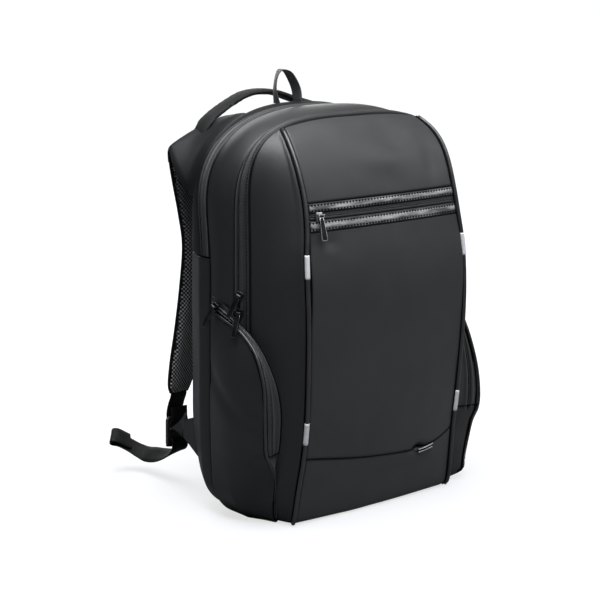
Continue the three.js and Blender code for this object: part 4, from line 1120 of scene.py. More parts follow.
pocketLook = {
    "rear": 2.06, "foreLow": 4.46, "fore": 4.6, "proud": 2.8, "strip": 2.7, "bulge": 8, "crest": 246,
    "low": 1.5, "high": 245.5,
    "crease": {"deep": -1.8, "slope": 0.75, "at": 150, "wide": 12, "from": (60, 110), "to": (170, 215)},
    "ground": (4, 60), "unevenness": 0.9, "unevenSize": 55, "puff": 0.8, "outward": (-1, -0.3, 0),
    "hem": 1.7, "hemFrom": 0.12, "hemThin": 0.2, "hemGrown": 0.24, "edges": (0.1, 0.965), "seam": 0.9, "seamUp": 0.5,
    "zipEnd": {"left": 88, "right": 94}, "zipFade": 0.03, "coilTo": 0.98, "seamTo": 0.97, "stopEnds": (0.02, 0.98),
    "stripOut": (-0.5, -1, 0.3), "stripRoll": 1.2,
    "slit": 0.36, "slitDepth": 1.3, "slitWide": 0.03, "slitShade": 0.05,
    "welt": 1.5, "weltGap": 0.1, "weltWide": 0.055, "trim": 0.9, "trimAt": 0.82, "trimWide": 0.1,
    "coil": 0.9, "coilUp": 0.2, "stop": 0.8, "stopUp": 0.9, "stopOut": (-0.4, -1, 0.1),
    "fuller": {"left": {"lip": 0, "lipZ": 105, "lipTall": 60, "fillLow": 5, "fillHigh": 96, "tuck": 34},
               "right": {"lip": 20, "lipZ": 105, "lipTall": 60, "fillLow": -3, "fillHigh": 13, "tuck": 0}},
}
probe = {"across": 0.02, "up": 0.5}  # small steps, for a slope


def pocketFace(part, z, fuller):
    look = pocketLook
    part, z = np.broadcast_arrays(np.asarray(part, float), np.asarray(z, float))
    fore = between(look["foreLow"], look["fore"], np.minimum(z / pocketLip[0]["z"], 1))
    across = between(look["rear"], fore, part)
    sideways = leftSide(across + probe["across"], z) - leftSide(across - probe["across"], z)
    upward = leftSide(across, z + probe["up"]) - leftSide(across, np.maximum(z - probe["up"], bagForm["floor"]))
    out = unit(np.cross(sideways, upward))
    out = np.where(out[..., :1] > 0, -out, out)
    sewn = leftSide(across, z) + out * look["proud"]
    rear = leftSide(look["rear"], z) - np.array([look["proud"], 0, 0])
    lipZ = np.maximum(z, pocketLip[0]["z"])
    lip = np.stack([tableAt(pocketLip, "z", "x", lipZ), tableAt(pocketLip, "z", "y", lipZ), z], -1)
    full = 1 - smooth(z, pocketLip[4]["z"], look["crest"])
    swell = look["bulge"] * np.sin(math.pi * part) * full
    swell = swell + fuller["lip"] * part * bump(z, fuller["lipZ"], fuller["lipTall"])
    box = between(rear, lip, part[..., None]) - swell[..., None] * np.array([1, 0, 0])
    start = fuller["fillLow"] + fuller["tuck"] * part ** 3
    return between(sewn, box, smooth(z, start, fuller["fillHigh"])[..., None])


def buildPocket(side, turn):
    look = pocketLook
    fuller = look["fuller"][side]

    def face(a, b):
        return pocketFace(a, between(look["low"], look["high"], b), fuller)

    def relief(a, b, points):
        y, z = points[..., 1], points[..., 2]
        fold = look["crease"]
        crease = fold["deep"] * bump(z - fold["slope"] * y, fold["at"], fold["wide"])
        crease = crease * smooth(z, *fold["from"]) * (1 - smooth(z, *fold["to"]))
        uneven = look["unevenness"] * crumple(points, look["unevenSize"], 21)
        return smooth(z, *look["ground"]) * (crease + uneven + look["puff"] * np.sin(math.pi * a))

    panel = panelGrid(face, 40, 90, relief=relief, outward=look["outward"])
    stripStops = pocketFoot + pocketLip
    lip = curveThrough([pocketFace(1.0, row["z"], fuller) for row in stripStops], 160)
    rootRows = []
    for row in stripStops:
        point = leftSide(row["across"], row["seamZ"])
        near = leftSide(row["across"] - probe["across"], row["seamZ"]) - point
        out = unit(np.cross(near, np.array([0, 0, 1.0])))
        rootRows.append(point + (out if out[0] < 0 else -out) * look["strip"])
    root = curveThrough(rootRows, 160)
    zipFrom = float(np.interp(look["zipEnd"][side], lip[:, 2], np.linspace(0, 1, len(lip))))
    slit = look["slit"]

    def strip(a, b):
        k = b * (len(lip) - 1)
        i = np.clip(k.astype(int), 0, len(lip) - 2)
        t = (k - i)[..., None]
        return between(between(lip[i], lip[i + 1], t), between(root[i], root[i + 1], t), a[..., None])

    def zipped(b):
        return smooth(b, zipFrom - look["zipFade"], zipFrom)

    def stripRelief(a, b, points):
        first, second = (bump(a, slit + way * look["weltGap"], look["weltWide"]) for way in (-1, 1))
        shaped = look["welt"] * (first + second) - look["slitDepth"] * bump(a, slit, look["slitWide"])
        return (shaped + look["trim"] * bump(a, look["trimAt"], look["trimWide"])) * zipped(b)

    def along(part, count, end):
        return strip(np.full(count, part), np.linspace(zipFrom, end, count))

    toward = unit(np.array(look["stripOut"]))
    tape = panelGrid(strip, 44, 110, look["stripRoll"], relief=stripRelief, outward=toward,
                     marks={"seam": lambda a, b: bump(a, slit, look["slitShade"]) * zipped(b)})
    hemPath = evenPath(lip[int(len(lip) * look["hemFrom"]):], 3)
    grown = smooth(np.linspace(0, 1, len(hemPath)), 0, look["hemGrown"])
    taper = between(look["hemThin"], 1, grown)  # the hem grows out of the foot seam
    hem = tubeGrid(hemPath, look["hem"] * taper, 10, (-1, 0, 0))
    coil = coilGrid(along(slit, 300, look["coilTo"]) + toward * look["coilUp"], toward, look["coil"])
    stop = strip(np.linspace(*look["stopEnds"], 14), np.full(14, zipFrom))
    stop = stop + unit(np.array(look["stopOut"])) * look["stopUp"]
    bar = tubeGrid(stop, look["stop"], 8, (0, 0, 1))
    edges = [along(part, 120, look["seamTo"]) + toward * look["seamUp"] for part in look["edges"]]
    cords = [turn(tubeGrid(evenPath(edge, 2.5), look["seam"], 8, (-1, 0, 0))) for edge in edges]
    addPiece("pocket." + side, [turn(panel)], finishes["sideCloth"], ["pocket_" + side])
    addPiece("pocketZip." + side, [turn(tape)], finishes["pocketTape"], ["pocket_zip_" + side])
    addPiece("pocketHem." + side, [turn(hem)], finishes["piping"], weld=True)
    addPiece("pocketCoil." + side, [turn(coil)], finishes["zipCoil"], weld=True)
    addPiece("pocketSeam." + side, cords, finishes["thread"], weld=True)
    addPiece("pocketStop." + side, [turn(bar)], finishes["thread"], weld=True)


for side, turn in bothSides:
    buildPocket(side, turn)
print("pockets made")

# Back panel: a plain pad under open mesh, sewn round its edge
backLook = {"inset": 1.5, "pillow": 7, "low": 1.5, "high": 460, "roll": 5, "border": 13, "groove": -1.8,
            "grooveWide": 2.2, "unevenness": 0.7, "unevenSize": 60}


def buildBack():
    look = backLook
    rear = seams[backEdge]

    def face(a, b):
        z = between(look["low"], look["high"], b)
        u = 2 * a - 1
        pillow = look["pillow"] * (1 - u * u) * np.sin(math.pi * b) ** 0.4
        return np.stack([u * (seamHalf(rear, z) - look["inset"]), seamDepth(rear, z) + pillow, z], -1)

    def relief(a, b, points):
        distance = np.minimum.reduce(edgeDistances(points))
        groove = look["groove"] * bump(distance, look["border"], look["grooveWide"])
        return groove + look["unevenness"] * crumple(points, look["unevenSize"], 31)

    pad = panelGrid(face, 70, 100, look["roll"], relief=relief, outward=(0, 1, 0))
    piece = addPiece("backPanel", [pad], finishes["net"], ["back_panel"])


buildBack()
print("back made")

# Shoulder straps: padded, bound along both edges, mesh toward the bag
strapRows = [
    {"outer": (-148, 89, 366), "inner": (-46, 89, 458), "thick": 5, "bow": 24},
    {"outer": (-151, 103, 377), "inner": (-46, 104, 458), "thick": 7, "bow": 19},
    {"outer": (-152.5, 118, 397), "inner": (-49, 120, 454), "thick": 9, "bow": 10.5},
    {"outer": (-149, 131, 417), "inner": (-54, 136, 446), "thick": 10, "bow": 3.5},
    {"outer": (-141.5, 140, 402), "inner": (-60, 148, 420), "thick": 11, "bow": 2.5},
    {"outer": (-135.5, 141, 376), "inner": (-66, 150, 387), "thick": 11, "bow": 0},
    {"outer": (-127, 141, 338), "inner": (-65, 150, 344), "thick": 11, "bow": 0},
    {"outer": (-122, 140, 300), "inner": (-60, 149, 303), "thick": 11, "bow": 0},
    {"outer": (-125, 142, 250), "inner": (-62, 150, 250), "thick": 11, "bow": 0},
    {"outer": (-131, 144, 200), "inner": (-71, 151, 197), "thick": 11, "bow": 0},
    {"outer": (-136, 147, 160), "inner": (-84, 153, 156), "thick": 11, "bow": 0},
    {"outer": (-137, 150, 130), "inner": (-95, 154, 127), "thick": 9, "bow": 0},
    {"outer": (-133, 151, 117), "inner": (-102, 154, 115.5), "thick": 6, "bow": 0},
]
strapLook = {
    "loops": 96, "sides": 40, "round": (0.45, 0.7), "start": 0.92, "trim": 2.5, "binding": 1.6, "bindFrom": 26,
    "voxel": 3.4, "pressure": 3.5, "frames": 16, "most": 2.5, "bend": 396, "web": 122,
    "faces": {"web": 0.1, "bend": -0.1, "inner": -0.25, "under": -0.45},  # how a face must lie to be cloth or mesh
}
handleRows = [
    (-111, 121.5, 431), (-102, 123.5, 444), (-91, 125, 453), (-79, 127.5, 459), (-58, 129, 468.5), (-34, 131, 477.5),
    (-10, 131, 480.5), (18, 131, 477.5), (46, 129, 468), (72, 127, 461), (90, 124, 454), (101, 122.5, 444),
    (110, 121, 431),
]
handleLook = {"wide": 26, "thick": 7, "sides": 28, "round": (0.6, 0.8), "voxel": 4, "pressure": 3.0, "frames": 14,
              "most": 1.8}
padStiffness = 30


def rowsAt(rows, key, at):
    flat = [{"step": i, "x": row[key][0], "y": row[key][1], "z": row[key][2]} for i, row in enumerate(rows)]
    return np.stack([tableAt(flat, "step", k, at) for k in "xyz"], -1)


# The strap's middle line, half its width, its thickness and its bow, by section
def strapAt(at):
    numbered = [{"step": i, **row} for i, row in enumerate(strapRows)]
    outer, inner = rowsAt(strapRows, "outer", at), rowsAt(strapRows, "inner", at)
    thick, bow = (tableAt(numbered, "step", key, at) for key in ("thick", "bow"))
    return (outer + inner) / 2, (inner - outer) / 2, thick, bow


def roundedOutline(look):
    angle = np.linspace(0, 2 * math.pi, look["sides"], endpoint=False)
    return [np.sign(way) * np.abs(way) ** power for way, power in zip((np.cos(angle), np.sin(angle)), look["round"])]


def strapLoops():
    middle, half, thick, bow = strapAt(np.linspace(0, len(strapRows) - 1, strapLook["loops"]))
    normal = unit(np.cross(half, np.gradient(middle, axis=0)))
    level = unit(normal * np.array([1, 0, 1]))
    wide, deep = roundedOutline(strapLook)
    arch = (1 - wide ** 2)[None, :, None] * level[:, None] * bow[:, None, None]
    half = half * (1 - strapLook["trim"] / np.linalg.norm(half, axis=1, keepdims=True))
    loops = middle[:, None] + half[:, None] * wide[None, :, None] + arch
    loops = loops + normal[:, None] * (thick[:, None] / 2 * deep[None])[..., None] * strapLook["start"]
    return loops, middle - half, middle + half


# Blows a closed pad up as cloth, then keeps each point near where it began
def inflate(grid, look):
    mesh = bpy.data.meshes.new("padding")
    mesh.from_pydata((grid["points"].reshape(-1, 3) * mm).tolist(), [], gridFaces(grid).tolist())
    work = bmesh.new()
    work.from_mesh(mesh)
    bmesh.ops.remove_doubles(work, verts=work.verts, dist=meshRules["weld"])
    bmesh.ops.recalc_face_normals(work, faces=work.faces)
    work.to_mesh(mesh)
    work.free()
    pad = addObject("padding", mesh)
    remesh = pad.modifiers.new("remesh", "REMESH")
    remesh.mode = "VOXEL"
    remesh.voxel_size = look["voxel"] * mm
    graph = bpy.context.evaluated_depsgraph_get()
    first = bpy.data.meshes.new_from_object(pad.evaluated_get(graph))
    pad.modifiers.clear()
    pad.data = first
    before = readPoints(first)
    after = before
    cloth = pad.modifiers.new("cloth", "CLOTH")
    cloth.settings.use_pressure = True
    cloth.settings.uniform_pressure_force = look["pressure"]
    cloth.settings.effector_weights.gravity = 0
    cloth.settings.tension_stiffness = cloth.settings.compression_stiffness = padStiffness
    cloth.point_cache.frame_start, cloth.point_cache.frame_end = 1, look["frames"]
    for step in range(1, look["frames"] + 1):
        scene.frame_set(step)
    graph = bpy.context.evaluated_depsgraph_get()
    after = readPoints(pad.evaluated_get(graph).data)
    scene.frame_set(1)
    pad.modifiers.clear()
    move = after - before
    far = np.linalg.norm(move, axis=1, keepdims=True)
    move = move * np.minimum(1, look["most"] * mm / np.maximum(far, tiny))
    first.vertices.foreach_set("co", (before + move).ravel())
    finer = pad.modifiers.new("finer", "SUBSURF")
    finer.levels = 1
    graph = bpy.context.evaluated_depsgraph_get()
    result = bpy.data.meshes.new_from_object(pad.evaluated_get(graph))
    bpy.data.objects.remove(pad)
    return result


def addPad(name, mesh, materials, pickFinish, nodes, mapAxes):
    mesh.materials.clear()
    for material in materials:
        mesh.materials.append(material)
    writeMap(mesh, readPoints(mesh)[:, mapAxes])
    for polygon in mesh.polygons:
        polygon.use_smooth = True
        polygon.material_index = pickFinish(polygon.center, polygon.normal)
    placePiece(name, mesh, nodes)


def mirrorMesh(mesh):
    copy = mesh.copy()
    copy.transform(Matrix.Scale(-1, 4, Vector((1, 0, 0))))
    copy.flip_normals()
    return copy


# The strap's top face, by section and by place across it (-1 outer edge, 1 inner edge)
def strapTop(at, wide):
    middle, half, thick, bow = strapAt(at)
    normal = unit(np.cross(half, strapAt(at + 0.1)[0] - middle))
    normal = np.where(normal[..., 2:] < 0, -normal, normal)
    level = unit(normal * np.array([1, 0, 1]))
    wideRound, deepRound = strapLook["round"]
    rise = (1 - np.abs(wide) ** (2 / wideRound)) ** (deepRound / 2) * thick / 2
    return middle + half * wide[..., None] + level * (bow * (1 - wide ** 2))[..., None] + normal * rise[..., None]


# Cloth of the yoke, one sheet from the laptop zip over the strap's root
yokeLook = {
    "stations": (0.97, 0.66, 0.3), "rows": (0.5, 1.2, 2.0, 2.8, 3.4, 4.0), "reach": 0.985, "across": 41, "along": 61,
    "lift": 1.4, "sink": 0.5, "fade": 0.07, "endFade": 0.12, "startFade": 0.2, "startLift": 0.35, "sinkFrom": 0.1,
    "unevenness": 0.5, "unevenSize": 40, "roll": 0.6, "skirt": 1.0, "outward": (-0.4, 0.2, 1),
}


def yokeGrid():
    look = yokeLook
    wide = np.linspace(-look["reach"], look["reach"], look["across"])
    near = np.linspace(bagForm["sideShare"], 0.5, 400)
    edge = seamPoint(seams[backEdge], near)
    root = strapTop(np.zeros_like(wide), wide)
    pick = np.linalg.norm((edge[:, None] - root[None]) * np.array([1, 0, 1]), axis=-1).argmin(0)
    lines = [skinAt(across, near[pick]) for across in look["stations"]]
    lines += [strapTop(np.full_like(wide, row), wide) for row in look["rows"]]
    table = np.stack([curveThrough([line[k] for line in lines], look["along"]) for k in range(len(wide))], 1)

    def face(a, b):
        i, j = b * (look["across"] - 1), a * (look["along"] - 1)
        p, q = np.clip(i.astype(int), 0, look["across"] - 2), np.clip(j.astype(int), 0, look["along"] - 2)
        s, t = (i - p)[..., None], (j - q)[..., None]
        return between(between(table[q, p], table[q, p + 1], s), between(table[q + 1, p], table[q + 1, p + 1], s), t)

    def relief(a, b, points):
        inside = smooth(b, 0, look["fade"]) * smooth(1 - b, 0, look["fade"]) * smooth(1 - a, 0, look["endFade"])
        inside = inside * between(look["startLift"], 1, smooth(a, 0, look["startFade"]))
        sunk = look["sink"] * (1 - inside) * smooth(a, 0.0, look["sinkFrom"])
        return look["lift"] * inside - sunk + look["unevenness"] * crumple(points, look["unevenSize"], 41)

    return panelGrid(face, 50, 44, look["roll"], relief=relief, skirt=look["skirt"], outward=look["outward"], sewn=0.0)


# Mesh on the side toward the bag, cloth on the other
def strapFinish(middle, normal):
    faces = strapLook["faces"]
    if middle.y < strapLook["web"] * mm:
        return 0 if normal.z > faces["web"] else 1
    if middle.z > strapLook["bend"] * mm and normal.z > faces["bend"]:
        return 0
    return 1 if normal.y < faces["inner"] or normal.z < faces["under"] else 0


def buildStraps():
    loops, outer, inner = strapLoops()
    left = inflate(loopGrid(loops), strapLook)
    yoke = yokeGrid()
    edges = (evenPath(edge[strapLook["bindFrom"]:-1], 4) for edge in (outer, inner))
    bindings = [tubeGrid(edge, strapLook["binding"], 8, (0, 1, 0.2)) for edge in edges]
    meshes = {"left": left, "right": mirrorMesh(left)}
    cloths = [finishes["yokeCloth"], finishes["net"]]
    for side, turn in bothSides:
        addPad("strap." + side, meshes[side], cloths, strapFinish, ["strap_" + side], (0, 2))
        addPiece("strapBinding." + side, [turn(grid) for grid in bindings], finishes["webbing"],
                 weld=True)
        addPiece("yoke." + side, [turn(yoke)], finishes["yokeCloth"])


def buildHandle():
    path = evenPath(curveThrough(handleRows, 120), 4)
    across = np.array([0, 1.0, 0])
    up = unit(np.cross(unit(np.gradient(path, axis=0)), across))
    up = np.where(up[:, 2:] < 0, -up, up)
    wide, deep = roundedOutline(handleLook)
    wide, deep = wide * handleLook["wide"] / 2, deep * handleLook["thick"] / 2
    loops = path[:, None] + wide[None, :, None] * across + up[:, None] * deep[None, :, None]
    addPad("grabHandle", inflate(loopGrid(loops), handleLook), [finishes["webbing"]], lambda middle, normal: 0,
           ["grab_handle"], (0, 1))


buildStraps()
buildHandle()
print("straps and handle made")

# Webbing, hang loop and the tabs that hold the lower straps
upperRoute = [
    (-118, 151.5, 126), (-117.5, 152.6, 114), (-116.5, 158, 104), (-115, 163.4, 92), (-114.5, 164.3, 85),
    (-114.5, 162.6, 79.8), (-114.5, 158, 78.8), (-114.5, 155.3, 82.5), (-114.5, 155.2, 98),
]
adjusterRoute = [
    {"at": (-146.3, 107.4, 85.5), "side": (0.1, 0, 1)}, {"at": (-139, 121, 88), "side": (0.35, -0.1, 0.9)},
    {"at": (-128.5, 137, 85), "side": (0.75, -0.15, 0.55)}, {"at": (-118.5, 150, 75), "side": (1, -0.05, 0.15)},
    {"at": (-114.5, 157.5, 69.2), "side": (1, 0, 0)}, {"at": (-114.5, 162, 68.8), "side": (1, 0, 0)},
    {"at": (-114.5, 164.6, 65.5), "side": (1, 0, 0)}, {"at": (-114.5, 163.6, 61), "side": (1, 0, 0)},
    {"at": (-114.5, 158.5, 58.8), "side": (1, 0, 0)}, {"at": (-114.5, 154.6, 55), "side": (1, 0, 0)},
    {"at": (-114.5, 154.6, 46), "side": (1, 0, 0)}, {"at": (-115.5, 163, 38), "side": (1, 0.1, 0.15)},
    {"at": (-114, 182, 31), "side": (0.9, 0.3, 0.35)}, {"at": (-112.5, 202, 26), "side": (0.75, 0.5, 0.45)},
    {"at": (-111.5, 222, 23.5), "side": (0.65, 0.62, 0.45)}, {"at": (-116, 235, 26.5), "side": (0.65, 0.62, 0.45)},
    {"at": (-124, 244, 33), "side": (0.65, 0.62, 0.45)}, {"at": (-134, 250, 39.5), "side": (0.65, 0.62, 0.45)},
    {"at": (-141, 253, 42), "side": (0.65, 0.62, 0.45)},
]
loopRoute = [
    {"at": (-19, 85, 469.6), "side": (0.1, 1, 0)}, {"at": (-21.5, 86, 486), "side": (0.5, 1, 0)},
    {"at": (-18, 87, 501.5), "side": (0.6, 1, 0)}, {"at": (-10, 87.5, 509), "side": (0.35, 1, 0)},
    {"at": (1, 87, 504.5), "side": (-0.2, 1, 0)}, {"at": (12, 86, 487), "side": (-0.45, 1, 0)},
    {"at": (15, 85, 469.6), "side": (-0.3, 1, 0)},
]
wingLook = {
    "root": {"x": -149.5, "low": 58, "high": 104, "lowY": 76, "highY": 84},
    "tip": {"x": -146.6, "low": 75, "high": 96, "y": 106.6}, "thick": 2.4,
}
tapeLook = {
    "wide": 25, "loopWide": 13, "thick": 1.5, "tailFold": 11, "tailLoop": 3.4, "loopLong": 1.6, "tuck": 0.5, "lie": 1.6,
    "hemWide": 0.99, "hemThick": 0.9,
}


# The tail's end is turned back in a loose loop and sewn down
def tailHem(run, side):
    look = tapeLook
    reach = look["tailLoop"]
    way = unit(run[-1] - run[-6])
    out = unit(np.cross(unit(side[-1]), way))
    angle = np.linspace(0, math.pi, 9)[:, None]
    fold = run[-1] - way * look["tuck"] + out * (reach - reach * np.cos(angle))
    fold = fold + way * look["loopLong"] * reach * np.sin(angle)
    ease = np.linspace(0.08, 1, 14)[:, None]
    back = fold[-1] - way * look["tailFold"] * 2 * ease - out * (2 * reach - look["lie"]) * ease * ease * (3 - 2 * ease)
    line = np.concatenate([fold, back])
    return tapeGrid(line, side[-1], look["wide"] * look["hemWide"], look["thick"] * look["hemThick"])


def routeAt(route, count):
    at = np.linspace(0, len(route) - 1, count)
    return rowsAt(route, "at", at), rowsAt(route, "side", at)


def wingFace(a, b):
    root, tip = wingLook["root"], wingLook["tip"]
    low, high, x = (between(root[key], tip[key], a) for key in ("low", "high", "x"))
    return np.stack([x, between(between(root["lowY"], root["highY"], b), tip["y"], a), between(low, high, b)], -1)


def buildWebbing():
    run, across = routeAt(adjusterRoute, 260)
    tail = tapeGrid(run, across, tapeLook["wide"], tapeLook["thick"])
    hem = tailHem(run, across)
    upper = tapeGrid(curveThrough(upperRoute, 90), (1, 0, 0), tapeLook["wide"], tapeLook["thick"])
    wing = slabGrid(wingFace, 12, 16, wingLook["thick"])
    cloth = finishes["webbing"]
    for side, turn in bothSides:
        addPiece("strapWebbing." + side, [turn(upper)], cloth, ["strap_webbing_" + side], weld=True)
        addPiece("adjuster." + side, [turn(tail), turn(hem)], cloth, ["adjuster_" + side], weld=True)
        addPiece("wingTab." + side, [turn(wing)], finishes["sideCloth"], ["wing_tab_" + side], weld=True)
    hang = tapeGrid(*routeAt(loopRoute, 90), tapeLook["loopWide"], tapeLook["thick"])
    addPiece("hangLoop", [hang], finishes["loopTape"], ["hang_loop"], weld=True)


buildWebbing()
print("webbing made")

# Stop tab folded over the lower seam, with two pale lines along its edges: partly stitching, partly painted highlights
# on the tab's edges
tabLook = {"from": 0.48, "to": 0.69, "low": 75, "high": 80.3, "proud": 1.5, "thick": 2.0, "lines": (0.1, 0.9),
           "line": 0.75}


def buildTab():
    look = tabLook

    def face(a, b):
        place = frontAt(between(look["from"], look["to"], a), between(look["low"], look["high"], b))
        return place + np.array([0, -look["proud"], 0])

    tab = slabGrid(face, 24, 8, look["thick"])
    addPiece("frontTab", [tab], finishes["webbing"], ["front_tab"], weld=True)
    lines = []
    for place in look["lines"]:
        line = face(np.linspace(0.02, 0.98, 40), np.full(40, place)) + np.array([0, -look["thick"] / 2, 0])
        lines.append(tubeGrid(line, look["line"], 8, (0, -1, 0)))
    addPiece("tabStitchesAndHighlights", lines, finishes["tabThreadAndHighlight"], weld=True)


buildTab()
print("tab made")

# Ladder locks: rails and four bars, the lowest a curved lip
lockLook = {
    "x": -114.5, "y": 160, "wide": 34, "low": 47, "high": 86.4, "rail": 2.6, "railLow": 3, "railHigh": 2,
    "squash": 0.85, "bars": ((80.2, 86.2), (70.4, 77.4), (60.0, 67.6)), "bar": 3.2, "barEdge": 1.2,
    "lip": {"up": 0.5, "tall": 13.5, "bow": 1.5, "wider": 0.8, "curl": 1.6, "back": 0.3, "thick": 2.8},
}


def buildLocks():
    look, curled = lockLook, lockLook["lip"]
    x, y, edge = look["x"], look["y"], look["barEdge"]
    half = look["wide"] / 2 - look["rail"]
    z = np.linspace(look["low"] + look["railLow"], look["high"] - look["railHigh"], 16)
    radius = look["rail"] * np.concatenate([[0.7, 0.95], np.ones(12), [0.95, 0.7]])
    rails = [np.stack([np.full_like(z, x + way * half), np.full_like(z, y), z], -1) for way in (-1, 1)]
    grids = [tubeGrid(rail, radius, 12, (0, 1, 0), look["squash"]) for rail in rails]
    for low, high in look["bars"]:
        def bar(a, b, low=low, high=high):
            return np.stack([x + (2 * b - 1) * half, np.full_like(a, y), between(low + edge, high - edge, a)], -1)

        grids.append(slabGrid(bar, 6, 12, look["bar"]))

    def lip(a, b):
        u = 2 * a - 1
        rise = look["low"] + curled["up"] + curled["tall"] * b + curled["bow"] * u * u * (1 - b)
        deep = y + curled["curl"] * (1 - b) ** 2 - curled["back"]
        return np.stack([x + u * (half + curled["wider"]), deep, rise], -1)

    grids.append(slabGrid(lip, 18, 8, curled["thick"]))
    for side, turn in bothSides:
        addPiece("ladderLock." + side, [turn(grid) for grid in grids], finishes["plastic"], ["ladder_lock_" + side],
                 weld=True)


buildLocks()
print("locks made")

# Zip sliders and their pulls, drawn upright about the hinge pin and then set in place
sliderLook = {
    "wide": 8.4, "long": 10, "thick": 2.4, "clear": 1.5, "soft": 0.5, "behind": -0.5, "sharp": 50,
    "pin": 0.8, "pinShort": 0.4, "pinHeight": 6.1,
    "ear": 1.3, "earWide": 4.0, "earIn": 0.1, "earOver": 1.7, "earTop": 1.4, "earSoft": 0.45,
}
pullLook = {
    "knuckle": 1.8, "hole": 1.15, "thick": 1.5, "long": 28, "top": 2.55, "topUp": 0.72, "bevel": 0.3,
    "rim": 0.55, "rimFoot": 4.4, "corner": ((1.6, 0), (0.5, 1), (0, 4)), "flare": 0.5, "flareDrop": 5,
}
sliders = {
    "front": {"metal": "chrome", "rim": "chrome", "foot": 4.4, "pin": (-105.3389, -86.0282, 361.1372),
              "axis": (-0.998396, 0.056616, 0), "out": (-0.0556, -0.9809, 0.1864), "swing": 4},
    "main_upper": {"metal": "gunmetal", "rim": "nickel", "foot": 2.8, "pin": (-168.3743, -17.6774, 268),
                   "axis": (-0.374405, 0.842412, 0.387509), "out": (-0.9138, -0.4061, 0), "swing": 12},
    "main_lower": {"metal": "gunmetal", "rim": "nickel", "foot": 2.8, "pin": (-168.3743, -17.6774, 248),
                   "axis": (-0.405058, 0.911379, 0.072910), "out": (-0.9138, -0.4061, 0), "swing": 20},
    "pocket": {"metal": "gunmetal", "rim": "nickel", "foot": 2.8, "pin": (-177.95, 15, 252),
               "axis": (0, 0.894427, 0.447214), "out": (-1, 0, 0), "swing": 10},
}
laptopSlider = {"across": 1.45, "z": 330, "out": (0.94, -0.34, 0), "swing": 8}


def hingePlace(pin, axis, out, swing=0.0):
    x = Vector(axis).normalized()
    y = Vector(out)
    y = (y - x * x.dot(y)).normalized()
    z = x.cross(y)
    turn = Matrix.Translation(Vector(pin)) @ Matrix([(x[i], y[i], z[i], 0) for i in range(3)] + [(0, 0, 0, 1)])
    return Matrix.Scale(mm, 4) @ turn @ Matrix.Rotation(math.radians(swing), 4, "X")


def softBlock(work, size, middle, soft, segments=2):
    made = bmesh.ops.create_cube(work, size=1)["verts"]
    bmesh.ops.scale(work, vec=size, verts=made)
    bmesh.ops.translate(work, vec=middle, verts=made)
    edges = list({edge for vert in made for edge in vert.link_edges})
    bmesh.ops.bevel(work, geom=edges, offset=soft, segments=segments, profile=0.6, affect="EDGES", material=0)


# A bar along the hinge, or a sleeve where it has an inner radius
def roundBar(work, radius, long, inner=0.0, sides=20):
    low, high = -long / 2, long / 2
    shapes = [(inner, low), (radius, low), (radius, high), (inner, high)] if inner else [(radius, low), (radius, high)]
    angles = np.linspace(0, 2 * math.pi, sides, endpoint=False)
    rings = [[work.verts.new((x, reach * math.cos(t), reach * math.sin(t))) for t in angles] for reach, x in shapes]
    pairs = list(zip(rings, rings[1:])) + ([(rings[-1], rings[0])] if inner else [])
    for first, second in pairs:
        for i in range(sides):
            work.faces.new((first[i - 1], first[i], second[i], second[i - 1]))
    if not inner:
        work.faces.new(rings[0])
        work.faces.new(rings[-1][::-1])


def drawSlider(work):
    look = sliderLook
    low = look["clear"] - look["pinHeight"]
    middle = (0, low + look["thick"] / 2, look["behind"])
    softBlock(work, (look["wide"], look["thick"], look["long"]), middle, look["soft"], 3)
    tall = look["pinHeight"] - look["clear"] - look["thick"] + look["earOver"]
    for way in (-1, 1):
        x = way * (look["wide"] / 2 - look["ear"] / 2 - look["earIn"])
        softBlock(work, (look["ear"], tall, look["earWide"]), (x, look["earTop"] - tall / 2, 0), look["earSoft"])
    roundBar(work, look["pin"], look["wide"] - look["pinShort"])


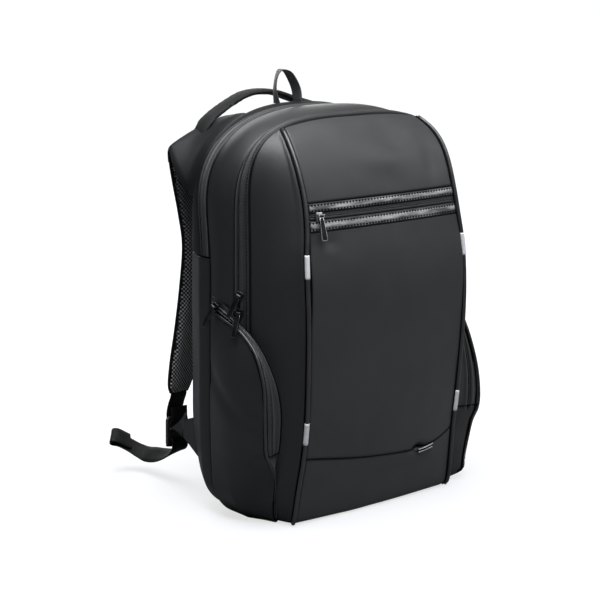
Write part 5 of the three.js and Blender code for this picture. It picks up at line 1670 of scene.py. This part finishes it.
def drawPull(work, half):
    look = pullLook
    roundBar(work, look["knuckle"], 2 * look["top"], look["hole"])
    top, foot, neck = -look["knuckle"] * look["topUp"], -look["long"], look["top"]
    t = look["thick"] / 2
    right = [(half - cut, foot + up) for cut, up in look["corner"]]
    right += [(neck + look["flare"], top - look["flareDrop"]), (neck, top)]
    outline = [(-x, z) for x, z in right[::-1]] + right
    front = [work.verts.new((x, t, z)) for x, z in outline]
    rear = [work.verts.new((x, -t, z)) for x, z in outline]
    work.faces.new(front)
    work.faces.new(rear[::-1])
    for i in range(len(outline)):
        work.faces.new((front[i - 1], rear[i - 1], rear[i], front[i]))
    rims = [e for e in work.edges if all(v in front for v in e.verts) or all(v in rear for v in e.verts)]
    bmesh.ops.bevel(work, geom=rims, offset=look["bevel"], segments=2, profile=0.5, affect="EDGES", material=1)
    plates = [face for face in work.faces if face.is_valid and len(face.verts) >= len(outline)]
    wide = look["rim"] * half / look["rimFoot"]
    for face in bmesh.ops.inset_individual(work, faces=plates, thickness=wide, depth=0.0)["faces"]:
        face.material_index = 1


# Each row of drawn is a drawing function, its place, and what else the function needs
def addHardware(name, drawn, metals, node, body="bag"):
    work = bmesh.new()
    for draw, place, *values in drawn:
        start = set(work.verts)
        draw(work, *values)
        bmesh.ops.transform(work, matrix=place, verts=[v for v in work.verts if v not in start])
    bmesh.ops.recalc_face_normals(work, faces=work.faces)
    mesh = bpy.data.meshes.new(name)
    work.to_mesh(mesh)
    work.free()
    for metal in metals:
        mesh.materials.append(finishes[metal])
    mesh.polygons.foreach_set("use_smooth", [True] * len(mesh.polygons))
    mesh.set_sharp_from_angle(angle=math.radians(sliderLook["sharp"]))
    placePiece(name, mesh, [node], body)


def buildSliders():
    for name, look in sliders.items():
        hinge = (look["pin"], look["axis"], look["out"])
        slider, pull = (drawSlider, hingePlace(*hinge)), (drawPull, hingePlace(*hinge, look["swing"]), look["foot"])
        addHardware("slider." + name, [slider], [look["metal"]], "slider_" + name)
        addHardware("pull." + name, [pull], ["gunmetal", look["rim"]], "pull_" + name, "pull_" + name)

    # The two on the hidden side are one piece with their pulls
    pocket, away = sliders["pocket"], Vector(laptopSlider["out"])
    at = skinAt(laptopSlider["across"], 1 - float(shareAt(laptopSlider["z"])))
    seat = Vector(at) + away * sliderLook["pinHeight"]
    flip = Matrix.Scale(-1, 4, Vector((1, 0, 0)))
    for name, turn, hinge, swing in (
        ("slider_pocket_right", flip, (pocket["pin"], pocket["axis"], pocket["out"]), pocket["swing"]),
        ("slider_laptop", Matrix.Identity(4), (seat, away.cross(Vector((0, 0, 1))), away), laptopSlider["swing"]),
    ):
        drawn = [(drawSlider, turn @ hingePlace(*hinge)), (drawPull, turn @ hingePlace(*hinge, swing), pocket["foot"])]
        addHardware(name.replace("_", "."), drawn, ["gunmetal", "nickel"], name)


buildSliders()
print("sliders made")
